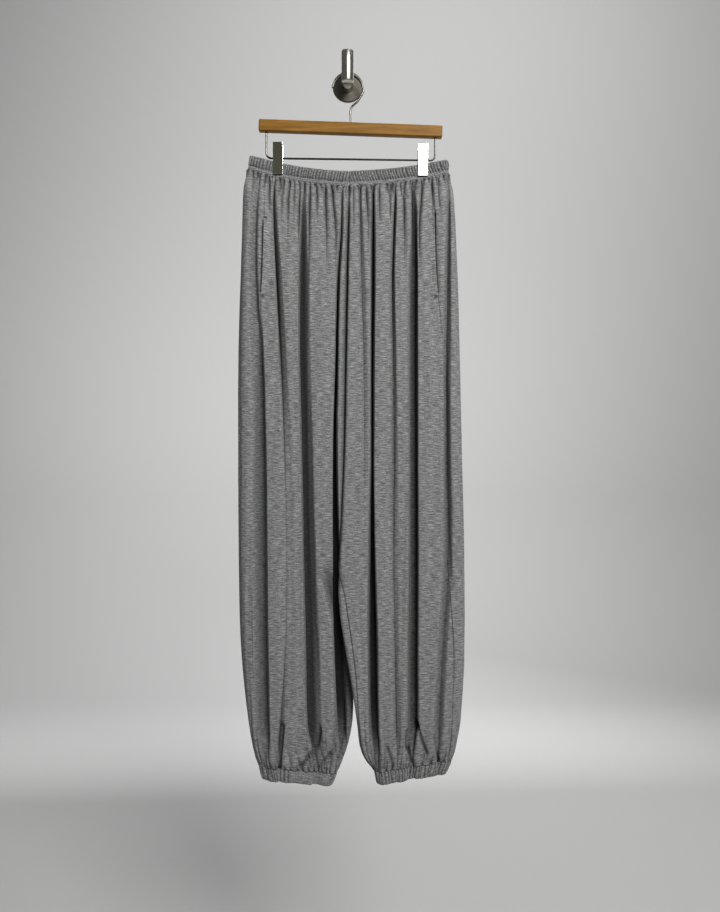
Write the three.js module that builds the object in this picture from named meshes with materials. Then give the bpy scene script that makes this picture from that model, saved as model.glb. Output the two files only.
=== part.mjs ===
// Harem pants with a gathered elastic waist, side-seam pockets and elastic cuffs, clipped to a
// wooden trouser hanger that hangs on a round wall hook.
// Millimetres, +Z up. The origin is the centre of the wall plate's back face, the wall is y = 0
// and everything is in front of it, at negative y. Left and right are as seen from the front.
import * as THREE from 'three';

// Cloth.
const CLOTH = 1.5;            // thickness of a cloth wall
const SEAM_GAP = 0.3;         // between two pieces at a seam
const MID_Y = -24;            // the plane in which the garment hangs
const FRONT_DEPTH = 20;       // how far the front's ridges stand out from that plane
const BACK_DEPTH = 14;
const CUFF_FRONT_DEPTH = 12.5;
const CUFF_BACK_DEPTH = 11.5;
const SIDE_ROUND = 22;        // length of the rounding at the outer sides
const WAIST_SIDE_ROUND = 7;
const CUFF_SIDE_ROUND = 15;
const INNER_ROUND = 9;        // the same at the centre seam and at the legs' inner sides
const FRONT_COLUMNS = 38;     // two columns make one gather
const BACK_COLUMNS = 46;

// Heights.
const WAIST_Z = -173.4;       // bottom seam of the waistband at the centre
const WAIST_RISE = { left: 27, right: 20.5 }; // how much higher the seam is at the sides
const WAIST_HALF_WIDTH = 165;
const SAG_END_Z = -455;       // below this the sag no longer shows
const BAND_HEIGHT = 24;
const BAND_RIDGE = 5.5;       // smooth stretch at the bottom of the band
const CROTCH_Z = -777;
const CUFF_Z = -1116;         // top of the cuffs
const CUFF_HEIGHT = 21;
const CUFF_END_Z = CUFF_Z - CUFF_HEIGHT;
const CUFF_TAPER = 70;        // the legs narrow over this length above the cuffs
const BAND_TOP_Z = -150;      // top of the waistband at the centre
const TILT_START_Z = -1000;   // above this the cuffs' tilt no longer shows
const ROWS = [
  WAIST_Z, -195, -235, -327, -455, -600, -720, CROTCH_Z,
  -800, -830, -880, -960, -1040, -1085, CUFF_Z,
];

// Gathers stand out from the wall at the waist and above the cuffs, and fade away from them.
const GATHER_HEIGHT = 2.4;
const GATHER_SPACING = 3.5;   // column spacing at which a gather has its full height
const WAIST_GATHER_LENGTH = 85;
const CUFF_GATHER_LENGTH = 62;
const CUFF_RIDGE = 3;         // smooth stretch at the top of a cuff
const RUCHE_HEIGHT = 1.5;     // on the waistband and cuffs
const RIDGE_HEIGHT = 0.6;     // of the smooth stretches beside the seams

// Half the thickness of the flattened waist: open in the middle, pinched in the clips.
const WAIST_OPEN = 8.5;
const WAIST_PINCHED = 2.2;
const WAIST_END = { bulge: 1.6, length: 50 }; // outside the clips the waist opens a little
const PINCH_END_Z = -245;
const CLIP_X = { left: -113, right: 122 };

// The outer silhouette, the side seams and the inner edges: distance from x = 0 toward that
// leg's outer side, at each height.
const OUTLINE_Z = [
  BAND_TOP_Z, WAIST_Z, -205, -327, -455, -600, CROTCH_Z, -921, -1040, -1090, CUFF_Z, CUFF_END_Z,
];
const OUTLINE = {
  left: {
    side: [158, 162.5, 169.5, 174, 176.8, 176.8, 176, 172.5, 161, 151, 142.5, 138],
    seam: [131, 131, 133, 136.6, 145.4, 150.2, 153.4, 152.6, 147, 143, 137, 132],
  },
  right: {
    side: [161, 164.5, 172, 179.4, 183, 186, 189, 189, 182, 174, 167.5, 160],
    seam: [136, 136.4, 138, 142, 154.6, 157, 160.5, 170.3, 167, 165, 160, 153],
  },
};

// The centre seam from the waist to the crotch: its x, and the depth y of its front and back.
const CENTRE = [
  { z: BAND_TOP_Z, x: 2.3, front: -32, back: -16 },
  { z: WAIST_Z, x: 2.3, front: -31.5, back: -16 },
  { z: -205, x: 1.6, front: -31, back: -13 },
  { z: -250, x: 0.6, front: -30, back: -11.5 },
  { z: -327, x: -0.9, front: -29, back: -11 },
  { z: -455, x: -3.3, front: -28.5, back: -11 },
  { z: -600, x: -5.7, front: -28.5, back: -11 },
  { z: -700, x: -9.5, front: -28, back: -12.5 },
  { z: -745, x: -12, front: -27, back: -18 },
  { z: CROTCH_Z, x: -13.7, front: -25, back: -25 },
];

// The inner edge of each leg below the crotch. out: distance from x = 0 toward the leg's outer
// side. y: depth of the edge. recess: how far one face gives way to the other leg. seam: how
// far round the front the inseam lies from the edge.
const INNER = {
  left: [
    { z: CROTCH_Z, out: 13.85, y: -25, recess: 0, seam: 0 },
    { z: -800, out: 13.9, y: -20, recess: 8, seam: 0 },
    { z: -830, out: 6, y: -15, recess: 20, seam: 0 },
    { z: -880, out: -6, y: -15, recess: 21, seam: 0 },
    { z: -960, out: -8.5, y: -15, recess: 21, seam: 0 },
    { z: -1040, out: -6.5, y: -17, recess: 13, seam: 0 },
    { z: -1085, out: 5, y: -21, recess: 4, seam: 0 },
    { z: CUFF_Z, out: 23, y: -24, recess: 0, seam: 0 },
    { z: CUFF_END_Z, out: 27.4, y: -24, recess: 0, seam: 0 },
  ],
  right: [
    { z: CROTCH_Z, out: -13.55, y: -25, recess: 0, seam: 0 },
    { z: -800, out: -13.4, y: -31, recess: 9, seam: 0 },
    { z: -830, out: -14, y: -36, recess: 17, seam: 8 },
    { z: -880, out: -10, y: -36, recess: 18, seam: 12 },
    { z: -960, out: 3, y: -36, recess: 18, seam: 9.5 },
    { z: -1040, out: 16.5, y: -33, recess: 9, seam: 2 },
    { z: -1085, out: 25, y: -29, recess: 3, seam: 1.5 },
    { z: CUFF_Z, out: 44, y: -24, recess: 0, seam: 1.5 },
    { z: CUFF_END_Z, out: 48.6, y: -24, recess: 0, seam: 1.5 },
  ],
};
const RECESS_FULL = 21;       // within this distance of the inner edge the recess is complete
const RECESS_END = { left: 33, right: 60 };

// Folds. column: the grid column that follows the fold. out and depth: its place and depth at
// each of FOLD_Z. width: from its bottom to its shoulder. sharp: 0 is a soft trough, 1 a slit.
const FOLD_Z = [WAIST_Z, -250, -327, -455, -600, CROTCH_Z, -921, -1040, -1090];
const FRONT_FOLDS = {
  left: [
    { column: 6, width: 8, sharp: 1, out: [8.9, 11.5, 13.7, 18.5, 20.1, 21.7, 18, 18, 29],
      depth: [0, 14, 15, 14, 13, 8, 0, 0, 0] },
    { column: 13, width: 8, sharp: 0.6, out: [37.8, 35, 33, 38, 41, 41, 39, 40, 44],
      depth: [0, 5, 3, 0, 0, 0, 0, 0, 3] },
    { column: 20, width: 15, sharp: 0.8, out: [66.7, 65.8, 65.1, 65.1, 63, 56.3, 52.3, 50.7, 54],
      depth: [0, 7, 8, 9, 9, 7, 6, 6, 5] },
    { column: 24, width: 9, sharp: 0.6, out: [79, 78.5, 78, 82, 81, 75, 73, 74, 75],
      depth: [0, 6, 4, 0, 0, 0, 0, 0, 4] },
    { column: 34, width: 13, sharp: 0.9, out: [118, 116.5, 114.9, 110, 100.4, 94, 95.6, 106.9, 109],
      depth: [0, 9, 11, 10, 6, 5, 5, 8, 9] },
  ],
  right: [
    { column: 5, width: 9, sharp: 0.3, out: [16.8, 20, 22.4, 25.6, 26.4, 24.8, 29, 39, 55],
      depth: [0, 4, 5, 4, 0, 0, 0, 0, 3] },
    { column: 11, width: 11, sharp: 1, out: [40.9, 40.9, 40.9, 40.9, 40.9, 40.9, 44, 55, 66],
      depth: [0, 13, 13, 12, 11, 10, 9, 9, 8] },
    { column: 18, width: 14, sharp: 0.5, out: [66.6, 69, 71.4, 73, 73, 73.8, 74.6, 77, 82],
      depth: [0, 5, 5, 5, 4, 4, 4, 5, 6] },
    { column: 24, width: 8, sharp: 0.6, out: [89, 91.5, 93, 91, 89, 91, 91, 92, 94],
      depth: [0, 4, 2, 0, 0, 0, 0, 2, 3] },
    { column: 32, width: 14, sharp: 0.9, out: [121, 118, 114.7, 109.9, 109.1, 109.1, 109, 107, 106],
      depth: [0, 9, 9, 9, 8, 8, 8, 8, 9] },
  ],
};
const BACK_FOLDS = {
  left: [
    { column: 13, width: 15, sharp: 0.6, out: [128, 126, 122, 117, 116, 118, 122, 118, 116],
      depth: [0, 6, 7, 6, 5, 4, 4, 5, 5] },
    { column: 23, width: 13, sharp: 0.8, out: [84, 82, 80, 77, 74, 72, 74, 76, 80],
      depth: [0, 5, 7, 7, 6, 6, 5, 5, 5] },
    { column: 34, width: 14, sharp: 0.7, out: [38, 37, 35, 32, 30, 32, 30, 34, 46],
      depth: [0, 6, 7, 6, 6, 5, 2, 3, 4] },
  ],
  right: [
    { column: 12, width: 14, sharp: 0.7, out: [133, 131, 128, 126, 128, 130, 132, 131, 130],
      depth: [0, 5, 6, 6, 6, 5, 5, 5, 5] },
    { column: 24, width: 14, sharp: 0.6, out: [83, 84, 86, 88, 90, 92, 94, 98, 100],
      depth: [0, 6, 7, 6, 6, 5, 5, 6, 5] },
    { column: 35, width: 13, sharp: 0.8, out: [36, 38, 40, 42, 43, 46, 62, 70, 76],
      depth: [0, 6, 6, 7, 6, 5, 3, 4, 4] },
  ],
};
const BACK_SIDE_COLUMN = 8;   // the column that follows the outer silhouette

// Pocket openings in the side seams: a folded edge that lies on the front panel.
const POCKET = { left: { top: -246, bottom: -359 }, right: { top: -224, bottom: -359 } };
const POCKET_COLUMNS = 2;     // grid columns that the folded edge covers
const POCKET_EDGE = 1.1;      // its thickness

// Hanger.
const BAR = { length: 298, height: 19, depth: 12, x: 4.7, z: -78, tilt: 0.036, edge: 1.5 };
const WIRE_RADIUS = 1.6;
const WIRE_SIDES = 10;
const HOOK_RADIUS = 25;       // centreline of the hanger's hook
const HOOK_ARC = { from: 172, to: -22, step: -14 }; // degrees, from its tip over the neck
const HOOK_STEM = [{ x: 16, z: -33 }, { x: 7.5, z: -41 }, { x: 4.6, z: -48 }, { x: 4.7, z: -58 }];
const RAIL = { left: -132, right: 142, leftZ: -125.5, rightZ: -129, bend: 8 };
const CLIP = { width: 16, height: 51, thickness: 1.2, lean: 0.06, seat: 4.3, gripBelow: 18 };
const SPRING = { inner: 1.9, outer: 5.45, length: 12 };

// Wall hook.
const PLATE = { radius: 25, thickness: 6, edge: 1 };
const NECK = { radius: 8.5, end: -35.2 };
const UPRIGHT = { radius: 9.5, y: -44.9, bottom: -11, top: 38, edge: 0.8 };

const clamp = (t) => Math.min(1, Math.max(0, t));
const smooth = (t) => clamp(t) ** 2 * (3 - 2 * clamp(t));
const mix = (a, b, t) => a + (b - a) * t;

// A smooth curve through the values given at falling heights.
function along(heights, values, z) {
  const last = heights.length - 1;
  if (z >= heights[0]) return values[0];
  if (z <= heights[last]) return values[last];
  let k = 0;
  while (z < heights[k + 1]) k += 1;
  const slope = (i) => {
    if (i === 0 || i === last) return 0;
    return (values[i + 1] - values[i - 1]) / (heights[i + 1] - heights[i - 1]);
  };
  const step = heights[k + 1] - heights[k];
  const t = (z - heights[k]) / step;
  const a = (1 + 2 * t) * (1 - t) ** 2 * values[k] + t * (1 - t) ** 2 * step * slope(k);
  return a + t * t * (3 - 2 * t) * values[k + 1] - t * t * (1 - t) * step * slope(k + 1);
}

const column = (rows, name, z) => along(rows.map((r) => r.z), rows.map((r) => r[name]), z);

// 0 at the edge and 1 from `round` on, as a quarter of an ellipse.
const rounded = (distance, round) => Math.sqrt(1 - (1 - clamp(distance / round)) ** 2);

// 1 at the bottom of a fold and 0 from its shoulder on.
function trough(distance, width, sharp) {
  const soft = 0.5 + 0.5 * Math.cos(Math.PI * clamp(distance / width));
  return mix(soft, 1 - rounded(distance, width), sharp);
}

function foldDepth(folds, out, z) {
  return folds.reduce((sum, fold) => {
    const place = along(FOLD_Z, fold.out, z);
    return sum + along(FOLD_Z, fold.depth, z) * trough(Math.abs(out - place), fold.width, fold.sharp);
  }, 0);
}

// Half the thickness of the waist where the band holds it.
function waistHalf(out, clipOut) {
  const past = clamp((out - clipOut) / WAIST_END.length);
  if (past > 0) return WAIST_PINCHED + WAIST_END.bulge * Math.sin(Math.PI * past);
  return mix(WAIST_PINCHED, WAIST_OPEN, Math.cos((Math.PI / 2) * clamp(out / clipOut)) ** 2);
}

// The form of one half at a height: everything that its section needs.
function sectionSizes(half, z) {
  const sign = half === 'left' ? -1 : 1;
  const above = z > CROTCH_Z;
  const rows = above ? CENTRE : INNER[half];
  const edgeY = (name) => column(rows, above ? name : 'y', z);
  return {
    half,
    z,
    sign,
    above,
    side: along(OUTLINE_Z, OUTLINE[half].side, z),
    seam: along(OUTLINE_Z, OUTLINE[half].seam, z),
    inner: above ? sign * column(CENTRE, 'x', z) + SEAM_GAP / 2 : column(INNER[half], 'out', z),
    frontEdgeY: edgeY('front'),
    backEdgeY: edgeY('back'),
    inseam: above ? 0 : column(INNER[half], 'seam', z),
    recess: above ? 0 : column(INNER[half], 'recess', z),
    pinch: smooth((z - PINCH_END_Z) / (WAIST_Z - PINCH_END_Z)),
    cuff: smooth((CUFF_Z + CUFF_TAPER - z) / CUFF_TAPER),
    clipOut: Math.abs(CLIP_X[half]),
  };
}

const sideRound = (s) => mix(mix(SIDE_ROUND, WAIST_SIDE_ROUND, s.pinch), CUFF_SIDE_ROUND, s.cuff);

function faceDepth(s, out, full, atCuff) {
  return mix(mix(full, waistHalf(out, s.clipOut), s.pinch), atCuff, s.cuff);
}

function recessAt(s, out) {
  const from = out - s.inner - RECESS_FULL;
  return s.recess * (1 - smooth(from / (RECESS_END[s.half] - RECESS_FULL)));
}

function frontY(s, out) {
  const folds = foldDepth(FRONT_FOLDS[s.half], out, s.z) * (1 - s.pinch) * (1 - s.cuff);
  const depth = faceDepth(s, out, FRONT_DEPTH, CUFF_FRONT_DEPTH) - folds;
  const y = MID_Y - depth * rounded(s.side - out, sideRound(s));
  const base = s.half === 'left' ? y + recessAt(s, out) : y;
  return mix(s.frontEdgeY, base, rounded(out - s.inner, INNER_ROUND));
}

function backY(s, out) {
  const folds = foldDepth(BACK_FOLDS[s.half], out, s.z) * (1 - s.pinch) * (1 - s.cuff);
  const depth = faceDepth(s, out, BACK_DEPTH, CUFF_BACK_DEPTH) - folds;
  const y = MID_Y + depth * rounded(s.side - out, sideRound(s));
  const base = s.half === 'right' ? y - recessAt(s, out) : y;
  return mix(s.backEdgeY, base, rounded(out - s.inner, INNER_ROUND));
}

// Places across a face, closer together where it rounds away and at the folds' bottoms.
function places(s, folds) {
  const list = [];
  const steps = 12;
  for (let i = 0; i <= steps; i += 1) {
    const bend = 1 - Math.cos((Math.PI / 2) * (i / steps));
    list.push(s.inner + INNER_ROUND * bend, s.side - sideRound(s) * bend);
  }
  const from = s.inner + INNER_ROUND;
  const to = s.side - sideRound(s);
  for (let i = 1; i < 70; i += 1) list.push(mix(from, to, i / 70));
  folds.forEach((fold) => list.push(along(FOLD_Z, fold.out, s.z)));
  return list.filter((out) => out >= s.inner && out <= s.side).sort((a, b) => a - b);
}

// One half's section: from the inner edge along the front to the side, and back along the back.
function section(half, z) {
  const s = sectionSizes(half, z);
  const front = places(s, FRONT_FOLDS[half]).map((out) => [out, frontY(s, out)]);
  const back = places(s, BACK_FOLDS[half]).reverse().map((out) => [out, backY(s, out)]);
  const points = [...front, ...back.slice(1)];
  const lengths = [0];
  for (let i = 1; i < points.length; i += 1) {
    const [a, b] = [points[i - 1], points[i]];
    lengths.push(lengths[i - 1] + Math.hypot(b[0] - a[0], b[1] - a[1]));
  }
  return { s, points, lengths, turn: front.length - 1, total: lengths[lengths.length - 1] };
}

// The distance along the section at which a face passes a place.
function lengthAt(path, out, onBack) {
  const { points, lengths, turn } = path;
  let [i, end] = onBack ? [turn, points.length - 1] : [0, turn];
  while (i < end - 1 && (onBack ? points[i + 1][0] > out : points[i + 1][0] < out)) i += 1;
  const span = points[i + 1][0] - points[i][0];
  return mix(lengths[i], lengths[i + 1], span === 0 ? 0 : clamp((out - points[i][0]) / span));
}

// The point at a distance along the section, past its end too where the leg is closed.
function pointAt(path, distance) {
  const { points, lengths, total, s } = path;
  const d = !s.above && distance > total ? distance - total : Math.min(total, Math.max(0, distance));
  let i = 0;
  while (i < lengths.length - 2 && lengths[i + 1] < d) i += 1;
  const span = lengths[i + 1] - lengths[i];
  const t = span === 0 ? 0 : (d - lengths[i]) / span;
  return [mix(points[i][0], points[i + 1][0], t), mix(points[i][1], points[i + 1][1], t)];
}

const normalOf = (a, b) => {
  const length = Math.hypot(b[0] - a[0], b[1] - a[1]) || 1;
  return [(b[1] - a[1]) / length, -(b[0] - a[0]) / length];
};

// Distances along the section for each column, spread evenly between the folds they follow.
function columnLengths(count, stops) {
  const list = [];
  let k = 0;
  for (let i = 0; i <= count; i += 1) {
    while (i > stops[k + 1].column) k += 1;
    const [a, b] = [stops[k], stops[k + 1]];
    list.push(mix(a.length, b.length, (i - a.column) / (b.column - a.column)));
  }
  return list;
}

function columnStops(path, face, gap) {
  const { s, total } = path;
  const inseam = s.above ? 0 : lengthAt(path, s.inner + s.inseam, false);
  const seam = lengthAt(path, s.seam, false);
  const folds = (face === 'front' ? FRONT_FOLDS : BACK_FOLDS)[s.half].map((fold) => ({
    column: fold.column,
    length: lengthAt(path, along(FOLD_Z, fold.out, s.z), face === 'back'),
  }));
  if (face === 'front') {
    const innerGap = s.above ? 0 : gap;
    return [{ column: 0, length: inseam + innerGap }, ...folds,
      { column: FRONT_COLUMNS, length: seam - gap }];
  }
  const side = { column: BACK_SIDE_COLUMN, length: path.lengths[path.turn] };
  const end = s.above ? total : total + inseam - gap;
  return [{ column: 0, length: seam + gap }, side, ...folds, { column: BACK_COLUMNS, length: end }];
}

// How far a gather stands out at a column.
function gatherHeight(z, i, spacing) {
  if (i % 2 === 1) return 0;
  const reach = 0.62 + 0.38 * Math.abs(Math.sin(2.4 * i + 0.7));
  const waist = 1 - clamp((WAIST_Z - z) / (WAIST_GATHER_LENGTH * reach));
  const cuff = 1 - clamp((z - CUFF_Z) / (CUFF_GATHER_LENGTH * reach));
  return GATHER_HEIGHT * Math.min(1, spacing / GATHER_SPACING) * Math.max(waist, cuff);
}

// The section's points for one face's columns, on the outside and the inside of the wall.
function rowPoints(path, face, gap, raise) {
  const count = face === 'front' ? FRONT_COLUMNS : BACK_COLUMNS;
  const lengths = columnLengths(count, columnStops(path, face, gap));
  const centre = lengths.map((d) => pointAt(path, d));
  const outer = centre.map((p, i) => {
    const n = normalOf(pointAt(path, lengths[i] - 0.4), pointAt(path, lengths[i] + 0.4));
    const spacing = Math.abs(lengths[Math.min(count, i + 1)] - lengths[Math.max(0, i - 1)]) / 2;
    const h = raise(path.s.z, i, spacing);
    const out = p[0] + n[0] * h;
    return [path.s.above ? Math.max(out, path.s.inner) : out, p[1] + n[1] * h];
  });
  const normals = outer.map((p, i) => wallNormal(path, face, outer, lengths, i));
  const inner = outer.map((p, i) => [p[0] - normals[i][0] * CLOTH, p[1] - normals[i][1] * CLOTH]);
  return { outer, inner, normals };
}

function wallNormal(path, face, outer, lengths, i) {
  const last = outer.length - 1;
  const atInner = face === 'front' ? i === 0 : i === last;
  const tip = path.s.z < CROTCH_Z + 1 && path.s.inseam < 1;
  if (atInner && tip) return [-1, 0];
  if (atInner && path.s.above) {
    const n = face === 'front' ? normalOf(outer[0], outer[1]) : normalOf(outer[last - 1], outer[last]);
    return [Math.min(0, n[0]), n[1]];
  }
  if (i === 0 || i === last) {
    return normalOf(pointAt(path, lengths[i] - 0.5), pointAt(path, lengths[i] + 0.5));
  }
  const [a, b] = [normalOf(outer[i - 1], outer[i]), normalOf(outer[i], outer[i + 1])];
  const sum = [a[0] + b[0], a[1] + b[1]];
  const length = Math.hypot(...sum) || 1;
  const unit = [sum[0] / length, sum[1] / length];
  const stretch = Math.min(1.5, 1 / Math.max(0.3, unit[0] * a[0] + unit[1] * a[1]));
  return [unit[0] * stretch, unit[1] * stretch];
}

// The seam at the waist rises toward the sides and the cuffs tilt, and both fade toward the
// middle of the garment.
function lift(x, z) {
  const rise = x < -2 ? WAIST_RISE.left : WAIST_RISE.right;
  const sag = rise * Math.abs((x + 2) / WAIST_HALF_WIDTH) ** 1.4;
  const top = smooth((z - SAG_END_Z) / (WAIST_Z - SAG_END_Z));
  const bottom = smooth((TILT_START_Z - z) / (TILT_START_Z - CUFF_Z));
  const tilt = x < 20 ? mix(0, 4, clamp(-x / 140)) : mix(-4, 15, clamp((x - 45) / 115));
  return sag * top + tilt * bottom;
}

const place = (sign, [out, y], z) => [sign * out, y, z + lift(sign * out, z)];

function geometryOf(vertices, triangles) {
  const geometry = new THREE.BufferGeometry();
  geometry.setAttribute('position', new THREE.Float32BufferAttribute(vertices.flat(), 3));
  geometry.setIndex(triangles.flat());
  return outward(geometry);
}

// Turns a closed mesh's faces outward.
function outward(geometry) {
  const p = geometry.attributes.position;
  const index = geometry.index ? [...geometry.index.array] : [...Array(p.count).keys()];
  const [a, b, c] = [new THREE.Vector3(), new THREE.Vector3(), new THREE.Vector3()];
  let volume = 0;
  for (let i = 0; i < index.length; i += 3) {
    a.fromBufferAttribute(p, index[i]);
    b.fromBufferAttribute(p, index[i + 1]);
    c.fromBufferAttribute(p, index[i + 2]);
    volume += a.dot(b.cross(c));
  }
  if (volume < 0) {
    for (let i = 0; i < index.length; i += 3) [index[i], index[i + 1]] = [index[i + 1], index[i]];
  }
  geometry.setIndex(index);
  return geometry;
}

// A closed body from two grids of points, the outside and the inside of a wall.
function wallBody(outer, inner) {
  const [rows, count] = [outer.length, outer[0].length];
  const vertices = [...outer.flat(), ...inner.flat()];
  const at = (r, c, side) => side * rows * count + r * count + c;
  const triangles = [];
  const quad = (a, b, c, d) => triangles.push([a, b, c], [a, c, d]);
  for (let r = 0; r < rows - 1; r += 1) {
    for (let c = 0; c < count - 1; c += 1) {
      quad(at(r, c, 0), at(r + 1, c, 0), at(r + 1, c + 1, 0), at(r, c + 1, 0));
      quad(at(r, c, 1), at(r, c + 1, 1), at(r + 1, c + 1, 1), at(r + 1, c, 1));
    }
    quad(at(r, 0, 0), at(r, 0, 1), at(r + 1, 0, 1), at(r + 1, 0, 0));
    quad(at(r, count - 1, 0), at(r + 1, count - 1, 0), at(r + 1, count - 1, 1), at(r, count - 1, 1));
  }
  for (let c = 0; c < count - 1; c += 1) {
    quad(at(0, c, 0), at(0, c + 1, 0), at(0, c + 1, 1), at(0, c, 1));
    quad(at(rows - 1, c, 0), at(rows - 1, c, 1), at(rows - 1, c + 1, 1), at(rows - 1, c + 1, 0));
  }
  return geometryOf(vertices, triangles);
}

// A closed ring from loops of points that follow each other round its profile.
function ringBody(loops) {
  const [sides, count] = [loops.length, loops[0].length];
  const at = (p, c) => (p % sides) * count + (c % count);
  const triangles = [];
  for (let p = 0; p < sides; p += 1) {
    for (let c = 0; c < count; c += 1) {
      triangles.push([at(p, c), at(p + 1, c), at(p + 1, c + 1)], [at(p, c), at(p + 1, c + 1), at(p, c + 1)]);
    }
  }
  return geometryOf(loops.flat(), triangles);
}

function panel(half, face) {
  const sign = half === 'left' ? -1 : 1;
  const rows = ROWS.map((z) => {
    const path = section(half, z);
    return { z, ...rowPoints(path, face, SEAM_GAP / 2, gatherHeight) };
  });
  const grid = (side) => rows.map((row) => row[side].map((p) => place(sign, p, row.z)));
  return wallBody(grid('outer'), grid('inner'));
}

// One band's loop of points at a height, moved out from the garment's section.
function bandLoop(half, z, moved, height) {
  const path = section(half, z);
  const raise = (_, i) => (i % 2 === 0 ? moved.ridge : moved.valley);
  const front = rowPoints(path, 'front', 0, raise).outer;
  const back = rowPoints(path, 'back', 0, raise).outer;
  return [...front, ...back.slice(1)].map((p) => {
    const [x, y, base] = place(path.s.sign, p, z);
    return [x, y, base + height];
  });
}

// The profile of an elastic band: heights above its seam, and how far each loop is moved out.
const bandProfile = (height, plain) => [
  { height: 0, ridge: -CLOTH, valley: -CLOTH },
  { height: 0, ridge: RIDGE_HEIGHT, valley: RIDGE_HEIGHT },
  { height: plain, ridge: RIDGE_HEIGHT, valley: RIDGE_HEIGHT },
  { height: plain + 3, ridge: RUCHE_HEIGHT, valley: 0 },
  { height: height - 1, ridge: RUCHE_HEIGHT, valley: 0 },
  { height, ridge: -CLOTH, valley: -CLOTH },
];

function waistband() {
  const loops = bandProfile(BAND_HEIGHT, BAND_RIDGE).map((step) => {
    const z = mix(WAIST_Z, BAND_TOP_Z, step.height / BAND_HEIGHT);
    const left = bandLoop('left', z, step, WAIST_Z + SEAM_GAP + step.height - z);
    const right = bandLoop('right', z, step, WAIST_Z + SEAM_GAP + step.height - z);
    return [...left, ...right.reverse()];
  });
  return ringBody(loops);
}

function cuff(half) {
  const loops = bandProfile(CUFF_HEIGHT, CUFF_RIDGE).map((step) => {
    const z = mix(CUFF_Z, CUFF_END_Z, step.height / CUFF_HEIGHT);
    const loop = bandLoop(half, z, step, CUFF_Z - SEAM_GAP - step.height - z);
    return loop.slice(0, -1);
  });
  return ringBody(loops);
}

// The folded edge of a pocket opening, made from the front panel's points, moved out.
function pocketEdge(half) {
  const { top, bottom } = POCKET[half];
  const heights = [top, ...ROWS.filter((z) => z < top && z > bottom), bottom];
  const grid = (distance) => heights.map((z) => pocketRow(half, z, distance));
  return wallBody(grid(SEAM_GAP + POCKET_EDGE), grid(SEAM_GAP));
}

// Points over the front panel beside its side seam, between two of the rows that the panel has.
function pocketRow(half, z, distance) {
  const sign = half === 'left' ? -1 : 1;
  const below = ROWS.findIndex((row) => row <= z);
  const [upper, lower] = [ROWS[below - 1], ROWS[below]].map((row) => {
    const { outer, normals } = rowPoints(section(half, row), 'front', SEAM_GAP / 2, gatherHeight);
    const moved = outer.map((p, i) => p.map((value, k) => value + normals[i][k] * distance));
    return moved.slice(FRONT_COLUMNS - POCKET_COLUMNS).map((p) => place(sign, p, row));
  });
  const t = (z - ROWS[below - 1]) / (ROWS[below] - ROWS[below - 1]);
  return upper.map((p, i) => p.map((value, k) => mix(value, lower[i][k], t)));
}

// A round wire along a curve.
function wire(curve, radius, steps) {
  const corners = Array.from({ length: WIRE_SIDES }, (_, i) => {
    const angle = (2 * Math.PI * (i + 0.5)) / WIRE_SIDES;
    return new THREE.Vector2(radius * Math.cos(angle), radius * Math.sin(angle));
  });
  return outward(new THREE.ExtrudeGeometry(new THREE.Shape(corners), { extrudePath: curve, steps }));
}

function hangerHook() {
  const centreZ = NECK.radius + SEAM_GAP + WIRE_RADIUS - HOOK_RADIUS;
  const points = [];
  for (let degrees = HOOK_ARC.from; degrees >= HOOK_ARC.to; degrees += HOOK_ARC.step) {
    const a = THREE.MathUtils.degToRad(degrees);
    points.push(new THREE.Vector3(HOOK_RADIUS * Math.cos(a), MID_Y, centreZ + HOOK_RADIUS * Math.sin(a)));
  }
  HOOK_STEM.forEach(({ x, z }) => points.push(new THREE.Vector3(x, MID_Y, z)));
  points.push(new THREE.Vector3(BAR.x, MID_Y, BAR.z + BAR.height / 2 + SEAM_GAP));
  return wire(new THREE.CatmullRomCurve3(points), WIRE_RADIUS, 28);
}

function hangerBar() {
  const [w, h] = [BAR.length / 2 - BAR.edge, BAR.height / 2 - BAR.edge];
  const shape = new THREE.Shape();
  shape.moveTo(-w, -h);
  shape.lineTo(w, -h);
  shape.lineTo(w, h);
  shape.lineTo(-w, h);
  shape.closePath();
  const depth = BAR.depth - 2 * BAR.edge;
  const bevel = { bevelThickness: BAR.edge, bevelSize: BAR.edge, bevelSegments: 2 };
  const geometry = new THREE.ExtrudeGeometry(shape, { depth, ...bevel });
  geometry.translate(0, 0, -depth / 2);
  geometry.rotateX(Math.PI / 2);
  geometry.rotateY(BAR.tilt);
  geometry.translate(BAR.x, MID_Y, BAR.z);
  return outward(geometry);
}

// The bar's underside at a place, where the rail's ends meet it.
const underBar = (x) => BAR.z - BAR.height / 2 - (x - BAR.x) * Math.tan(BAR.tilt) - SEAM_GAP;

function hangerRail() {
  const { left, right, leftZ, rightZ, bend } = RAIL;
  const at = (x, z) => new THREE.Vector3(x, MID_Y, z);
  const path = new THREE.CurvePath();
  path.add(new THREE.LineCurve3(at(left, underBar(left)), at(left, leftZ + bend)));
  path.add(new THREE.QuadraticBezierCurve3(at(left, leftZ + bend), at(left, leftZ), at(left + bend, leftZ)));
  path.add(new THREE.LineCurve3(at(left + bend, leftZ), at(right - bend, rightZ)));
  path.add(new THREE.QuadraticBezierCurve3(at(right - bend, rightZ), at(right, rightZ), at(right, rightZ + bend)));
  path.add(new THREE.LineCurve3(at(right, rightZ + bend), at(right, underBar(right))));
  return wire(path, WIRE_RADIUS, 40);
}

const railZ = (x) => mix(RAIL.leftZ, RAIL.rightZ, (x - RAIL.left) / (RAIL.right - RAIL.left));

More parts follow.
